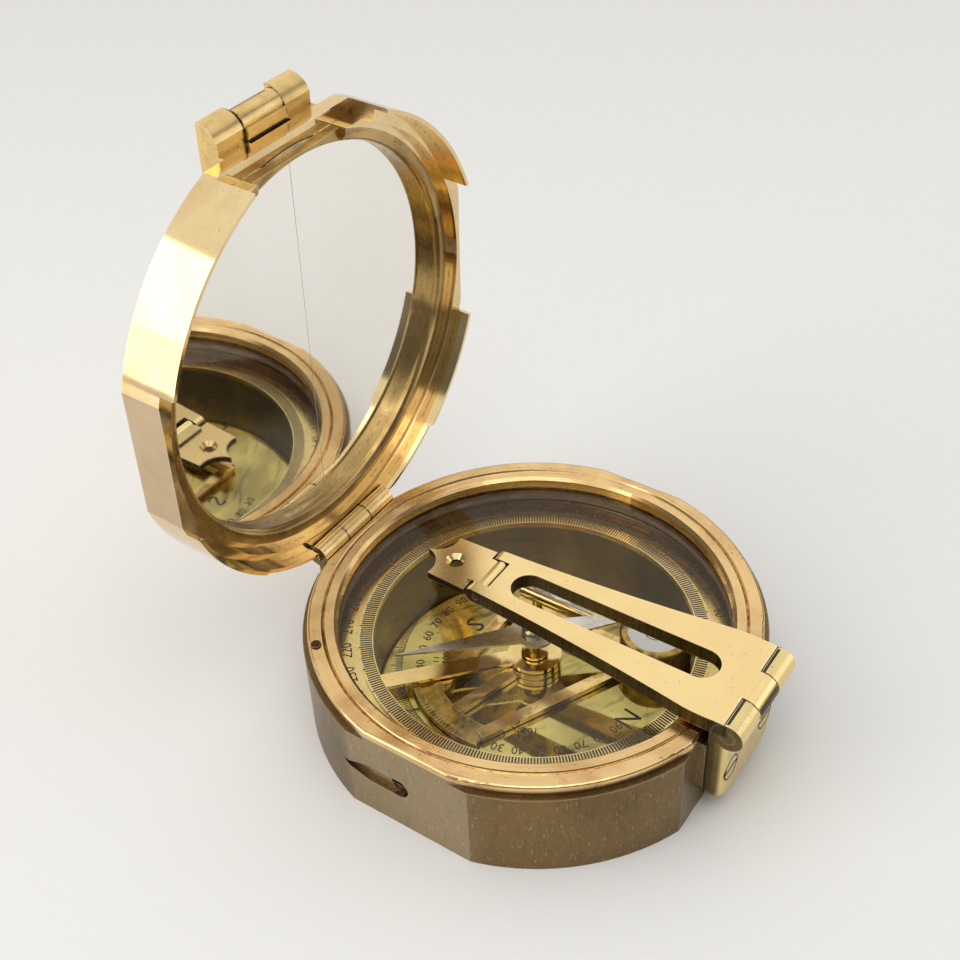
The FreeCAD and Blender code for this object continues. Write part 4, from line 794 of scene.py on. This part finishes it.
def finish_piece(name, shape, material, body):
    """Turns a bmesh drawn in millimetres into a closed piece of the model that rides on a body."""
    bmesh.ops.remove_doubles(shape, verts=shape.verts, dist=SAME_SPOT)
    bmesh.ops.recalc_face_normals(shape, faces=shape.faces)
    bmesh.ops.scale(shape, vec=(MM, MM, MM), verts=shape.verts)
    mesh = bpy.data.meshes.new(name)
    shape.to_mesh(mesh)
    shape.free()
    mesh.materials.append(material)
    piece = bpy.data.objects.new(name, mesh)
    bpy.context.scene.collection.objects.link(piece)
    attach(piece, body)
    return piece


def radial_place(degrees, radius, z):
    """A place at an angle and radius, with local X pointing outwards."""
    spin = Matrix.Rotation(math.radians(degrees), 4, "Z")
    return spin @ Matrix.Translation((radius, 0, z))


def add_arc(shape, radius, width, place, start=0, end=360):
    """A thin flat line round the Z axis of a place, from one angle to another."""
    low, high = radius - 0.5 * width, radius + 0.5 * width
    turned = place @ Matrix.Rotation(math.radians(start), 4, "Z")
    corners = [shape.verts.new(turned @ Vector(corner))
               for corner in ((low, 0, 0), (high, 0, 0), (high, 0, INK), (low, 0, INK))]
    made = [shape.faces.new(corners)]
    whole = end - start >= 360
    if whole:
        edges = list(made[0].edges)
        bmesh.ops.delete(shape, geom=made, context="FACES_ONLY")
        made = edges
    bmesh.ops.spin(shape, geom=made, axis=place.to_3x3() @ Vector((0, 0, 1)),
                   cent=place.translation, steps=int((end - start) / ARC_STEP),
                   angle=math.radians(end - start), use_merge=whole)


def add_ticks(shape, inner, lengths, width, z, first, step, count):
    """Radial marks: every tenth has the longest length, every fifth the middle one."""
    for i in range(count):
        length = lengths[2] if i % 10 == 0 else lengths[1] if i % 5 == 0 else lengths[0]
        add_block(shape, length, width, INK,
                  radial_place(first + i * step, inner + 0.5 * length, z + 0.5 * INK))


# %% Graduations of the circle
TICK_LENGTHS = (1.85, 1.95, 2.1)
TICK_WIDTH = 0.235
TICK_GAP = 0.15
marks_shape = bmesh.new()
add_ticks(marks_shape, TICK_IN + TICK_GAP, TICK_LENGTHS, TICK_WIDTH, TICK_TOP, 0, 1, 360)
circle_marks = finish_piece("circle_marks", marks_shape, wax, "dial")
print(circle_marks.name, len(circle_marks.data.polygons), "faces")


# %% Numbers round the circle
def text_mesh(text, size, z_thick):
    """A word as a mesh, centred, lying in the XY plane and drawn in millimetres."""
    curve = bpy.data.curves.new("word", "FONT")
    curve.body = text
    curve.size = size
    curve.align_x = "CENTER"
    curve.align_y = "CENTER"
    curve.extrude = 0.5 * z_thick
    curve.resolution_u = 2
    word = bpy.data.objects.new("word", curve)
    bpy.context.scene.collection.objects.link(word)
    mesh = bpy.data.meshes.new_from_object(word)
    bpy.data.objects.remove(word)
    return mesh


def add_word(shape, text, size, place, squeeze=1.0):
    """A word added to a bmesh at a place, its width multiplied by squeeze."""
    mesh = text_mesh(text, size, INK)
    mesh.transform(place @ Matrix.Diagonal((squeeze, 1, 1, 1)))
    shape.from_mesh(mesh)
    bpy.data.meshes.remove(mesh)


def head_outwards(degrees, radius, z):
    """A place for a word whose head points away from the Z axis."""
    return radial_place(degrees, radius, z + 0.5 * INK) @ Matrix.Rotation(math.radians(-90), 4, "Z")


NUMBER_SIZE = 2.6
NUMBER_SQUEEZE = 0.85
ZERO_AT = -90
RIM_LINE_IN, RIM_LINE_WIDTH = 0.55, 0.10
numbers_shape = bmesh.new()
for degree in range(0, 360, 10):
    add_word(numbers_shape, str(degree), NUMBER_SIZE,
             head_outwards(degree + ZERO_AT, NUMBER_R, NUMBER_TOP), NUMBER_SQUEEZE)
add_arc(numbers_shape, NUMBER_OUT - RIM_LINE_IN, RIM_LINE_WIDTH,
        Matrix.Translation((0, 0, NUMBER_TOP)))
circle_numbers = finish_piece("circle_numbers", numbers_shape, wax, "dial")
print(circle_numbers.name, len(circle_numbers.data.polygons), "faces")

# %% [markdown]
# ## The clinometer's scales
# The floor of the case carries the scale that the vernier sweeps over: degrees outside it, and the
# same slope as a percentage inside it. A slope of a hundred per cent is 45 degrees, so the inner
# numbers stand at the arc tangent of their value. The floor also has the compass letters.

# %% Scale on the floor plate
PLATE_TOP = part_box("scale_plate")[1].z / MM
VERNIER_R = -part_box("vernier_arm")[0].x / MM
VERNIER_WIDTH = 4.2
SCALE_ZERO = 164
SCALE_REACH = 90
SCALE_START = SCALE_ZERO - SCALE_REACH
DEGREE_R = VERNIER_R + 1.1
DEGREE_NUMBER_R = VERNIER_R - 1.9
DEGREE_NUMBER_SIZE = 2.1
DEGREE_TICKS = (1.0, 1.4, 1.9)
DEGREE_TICK_WIDTH = 0.14
DEGREE_LINE_WIDTH = 0.12

plate_shape = bmesh.new()
add_arc(plate_shape, DEGREE_R, DEGREE_LINE_WIDTH, Matrix.Translation((0, 0, PLATE_TOP)),
        SCALE_START, SCALE_ZERO + SCALE_REACH)
add_ticks(plate_shape, DEGREE_R, DEGREE_TICKS, DEGREE_TICK_WIDTH, PLATE_TOP, SCALE_START, 1,
          2 * SCALE_REACH + 1)
for slope in range(-90, 91, 10):
    add_word(plate_shape, str(abs(slope)), DEGREE_NUMBER_SIZE,
             head_outwards(SCALE_ZERO + slope, DEGREE_NUMBER_R, PLATE_TOP))
print("degrees from", SCALE_START, "to", SCALE_START + 2 * SCALE_REACH)

# %% Percentages inside the degrees
PERCENT_R = VERNIER_R - VERNIER_WIDTH - 0.1
PERCENT_NUMBER_R = VERNIER_R - VERNIER_WIDTH - 1.7
PERCENT_NUMBER_SIZE = 1.7
PERCENT_TICK_LENGTH, PERCENT_TICK_WIDTH = 0.9, 0.16
for percent in range(-100, 101, 10):
    angle = SCALE_ZERO + math.degrees(math.atan(percent / 100))
    add_block(plate_shape, PERCENT_TICK_LENGTH, PERCENT_TICK_WIDTH, INK,
              radial_place(angle, PERCENT_R, PLATE_TOP + 0.5 * INK))
    if percent % 20 == 0:
        add_word(plate_shape, str(abs(percent)), PERCENT_NUMBER_SIZE,
                 head_outwards(angle, PERCENT_NUMBER_R, PLATE_TOP))
print("percentages at radius", round(PERCENT_R, 1))

# %% Compass letters on the floor plate
LETTER_SIZE = 4.6
LETTERS = {"N": (-98, 18.2), "W": (148, 10.6), "S": (82, 12.5), "E": (-2, 18.6)}
for letter, (angle, radius) in LETTERS.items():
    add_word(plate_shape, letter, LETTER_SIZE, head_outwards(angle, radius, PLATE_TOP))
plate_marks = finish_piece("plate_marks", plate_shape, wax, "case")
print(plate_marks.name, len(plate_marks.data.polygons), "faces")

# %% Vernier marks
VERNIER_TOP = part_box("vernier_arm")[1].z / MM
VERNIER_STEP = 1.8
vernier_shape = bmesh.new()
for step in range(-6, 7):
    length = 1.0 if step % 3 == 0 else 0.7
    add_block(vernier_shape, length, DEGREE_TICK_WIDTH, INK,
              radial_place(SCALE_ZERO + step * VERNIER_STEP, VERNIER_R - 0.05 - 0.5 * length,
                           VERNIER_TOP + 0.5 * INK))
vernier_marks = finish_piece("vernier_marks", vernier_shape, wax, "clinometer")
print(vernier_marks.name, len(vernier_marks.data.polygons), "faces")

# %% [markdown]
# ## The levels
# A round level shows a bubble inside a ring, a long one a bubble between two lines. Each bubble is a
# small lens of air under the glass. It is drawn as a flattened ball that stands a little proud, so
# that it catches the light as the real one does.

# %% Round level's bubble and ring
bubble_glass = glassy("bubble_glass", (0.80, 0.80, 0.74, 1), 0.55, 0.05, 0.0)
LEVEL_LINE = 0.12


def top_of(name):
    """The middle of a node's box in plan, and its highest point, in millimetres."""
    low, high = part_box(name)
    return Vector((0.5 * (low.x + high.x), 0.5 * (low.y + high.y), high.z)) / MM


def add_bubble(name, half_sizes, place, segments):
    """A flattened ball of air on the clinometer's levels."""
    shape = bmesh.new()
    bmesh.ops.create_uvsphere(shape, u_segments=segments, v_segments=12, radius=1.0)
    bmesh.ops.scale(shape, vec=half_sizes, verts=shape.verts)
    bmesh.ops.translate(shape, vec=place, verts=shape.verts)
    return finish_piece(name, shape, bubble_glass, "clinometer")


CUP_TOP = top_of("round_level_vial")
BUBBLE_R = 1.3
BUBBLE_AT = CUP_TOP + Vector((0.5, 0.4, 0))
RING_R = BUBBLE_R + 0.45
round_bubble = add_bubble("round_bubble", (BUBBLE_R, BUBBLE_R, 0.12), BUBBLE_AT, 32)
ring_shape = bmesh.new()
add_arc(ring_shape, RING_R, LEVEL_LINE, Matrix.Translation(CUP_TOP))
level_ring = finish_piece("round_level_ring", ring_shape, wax, "clinometer")
print(round_bubble.name, level_ring.name, "at", [round(c, 1) for c in CUP_TOP])

# %% Long level's bubble and lines
VIAL_TOP = top_of("long_level_vial")
LONG_BUBBLE = (0.62, 2.1, 0.10)
LONG_BUBBLE_AT = VIAL_TOP + Vector((0, 0.5, 0))
LINE_AT = 2.3
LINE_ACROSS = 0.8
long_bubble = add_bubble("long_bubble", LONG_BUBBLE, LONG_BUBBLE_AT, 24)
gauge_shape = bmesh.new()
for side in (-1, 1):
    add_block(gauge_shape, LINE_ACROSS, LEVEL_LINE, INK,
              Matrix.Translation(VIAL_TOP + Vector((0, side * LINE_AT, 0))))
long_lines = finish_piece("long_level_lines", gauge_shape, wax, "clinometer")
print(long_bubble.name, long_lines.name, "at height", round(VIAL_TOP.z, 2))

# %% [markdown]
# ## The lift sleeve
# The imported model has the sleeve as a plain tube, which is enough to lift the needle. The real one is
# a spool: a foot that the lever pushes, a thin waist round the pivot and a head under the needle. A
# spool is one outline turned about its axis, so a spin makes it, and it replaces the tube.

# %% Spool
sleeve_low, sleeve_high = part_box("lift_collar")
SPOOL_R = sleeve_high.x / MM
SPOOL_HEAD = 0.8 * SPOOL_R
SPOOL_BORE = 0.65
SPOOL_WAIST = 0.95
FLANGE, SLOPE_END = 0.45, 0.8
foot, head = sleeve_low.z / MM, sleeve_high.z / MM
outline = [(SPOOL_BORE, foot), (SPOOL_R, foot), (SPOOL_R, foot + FLANGE),
           (SPOOL_WAIST, foot + SLOPE_END), (SPOOL_WAIST, head - SLOPE_END),
           (SPOOL_HEAD, head - FLANGE), (SPOOL_HEAD, head), (SPOOL_BORE, head)]
spool_shape = bmesh.new()
corners = [spool_shape.verts.new((r, 0, z)) for r, z in outline]
edges = [spool_shape.edges.new((corners[i - 1], corners[i])) for i in range(len(corners))]
bmesh.ops.spin(spool_shape, geom=edges, axis=(0, 0, 1), cent=(0, 0, 0), steps=48,
               angle=2 * math.pi, use_merge=True)
lift_spool = finish_piece("lift_spool", spool_shape, circle_brass, "needle_lift_sleeve")
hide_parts("lift_collar")
print(lift_spool.name, "height", round((sleeve_high.z - sleeve_low.z) / MM, 2), "mm")

# %% [markdown]
# ## Dirt round the lug's screws
# Polish collects where a screw head meets the plate and dries brown. A thin ring of the same dark wax
# stands in for it on each of the two heads.

# %% Screw outlines
screw_low, screw_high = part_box("lug_screws")
SCREW_R = 0.5 * (screw_high.z - screw_low.z) / MM
SCREW_X = screw_high.x / MM - SCREW_R
SCREW_Z = 0.5 * (screw_high.z + screw_low.z) / MM
SCREW_FACE = screw_low.y / MM
SCREW_DIRT_WIDTH = 0.24
outline_shape = bmesh.new()
upright = Matrix.Rotation(math.radians(90), 4, "X")
for side in (-1, 1):
    add_arc(outline_shape, SCREW_R, SCREW_DIRT_WIDTH,
            Matrix.Translation((side * SCREW_X, SCREW_FACE, SCREW_Z)) @ upright)
screw_outlines = finish_piece("screw_outlines", outline_shape, wax, "case")
print(screw_outlines.name, "of radius", round(SCREW_R, 2), "at x", round(SCREW_X, 2))

# %% [markdown]
# ## Dirt in the sight hinge's seams
# The arm ends just above its hinge, and polish has filled the gap there with a dark brown line. A
# second line runs down the side, where the lug is screwed to the case.

# %% Hinge dirt
KNUCKLE_EDGE = 3.0
SEAM_END = 0.4
TOP_SEAM_WIDTH, TOP_SEAM_BACK = 0.42, 0.25
SIDE_SEAM_WIDTH = 0.34
lug_low, lug_high = (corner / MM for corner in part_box("sight_hinge_lug"))
SIGHT_HINGE = hinge_spot("sight_arm_hinge") / MM
seam_length = lug_high.x - KNUCKLE_EDGE - SEAM_END
side_length, side_middle = 0.62 * SIGHT_HINGE.z, lug_low.z + 0.44 * SIGHT_HINGE.z
dirt_shape = bmesh.new()
for side in (-1, 1):
    add_block(dirt_shape, seam_length, TOP_SEAM_WIDTH, INK,
              Matrix.Translation((side * (KNUCKLE_EDGE + 0.5 * seam_length),
                                  SIGHT_HINGE.y + TOP_SEAM_BACK, lug_high.z)))
    add_block(dirt_shape, INK, SIDE_SEAM_WIDTH, side_length,
              Matrix.Translation((side * lug_high.x, lug_high.y, side_middle)))
hinge_dirt = finish_piece("hinge_dirt", dirt_shape, wax, "case")
print(hinge_dirt.name, "on a lug from", [round(c, 2) for c in lug_low], "to",
      [round(c, 2) for c in lug_high])

# %% [markdown]
# ## The mirror's sighting line
# A fine line is cut down the middle of the mirror, from hinge to sight. The line, the slot in the arm
# and the hole in its tip are lined up on the target. It lies on the glass, on the side that faces
# the hinge.

# %% Sighting line
LID_HINGE = hinge_spot("lid_hinge") / MM
lid_opening = Matrix.Rotation(math.radians(joint_called("lid_hinge")["range_deg"][0]), 4, "X")
LID_TO_REST = Matrix.Translation(LID_HINGE) @ lid_opening @ Matrix.Translation(-LID_HINGE)
MIRROR_FACE = 22.1
LINE_LENGTH, LINE_WIDTH = 58.0, 0.05

line_shape = bmesh.new()
add_block(line_shape, LINE_WIDTH, LINE_LENGTH, INK,
          LID_TO_REST @ Matrix.Translation((0, 0, MIRROR_FACE - 0.5 * INK)))
mirror_line = finish_piece("mirror_line", line_shape, line_wax, "lid")
print(mirror_line.name, "ends at", [round(c / MM, 1) for c in mirror_line.bound_box[0]])
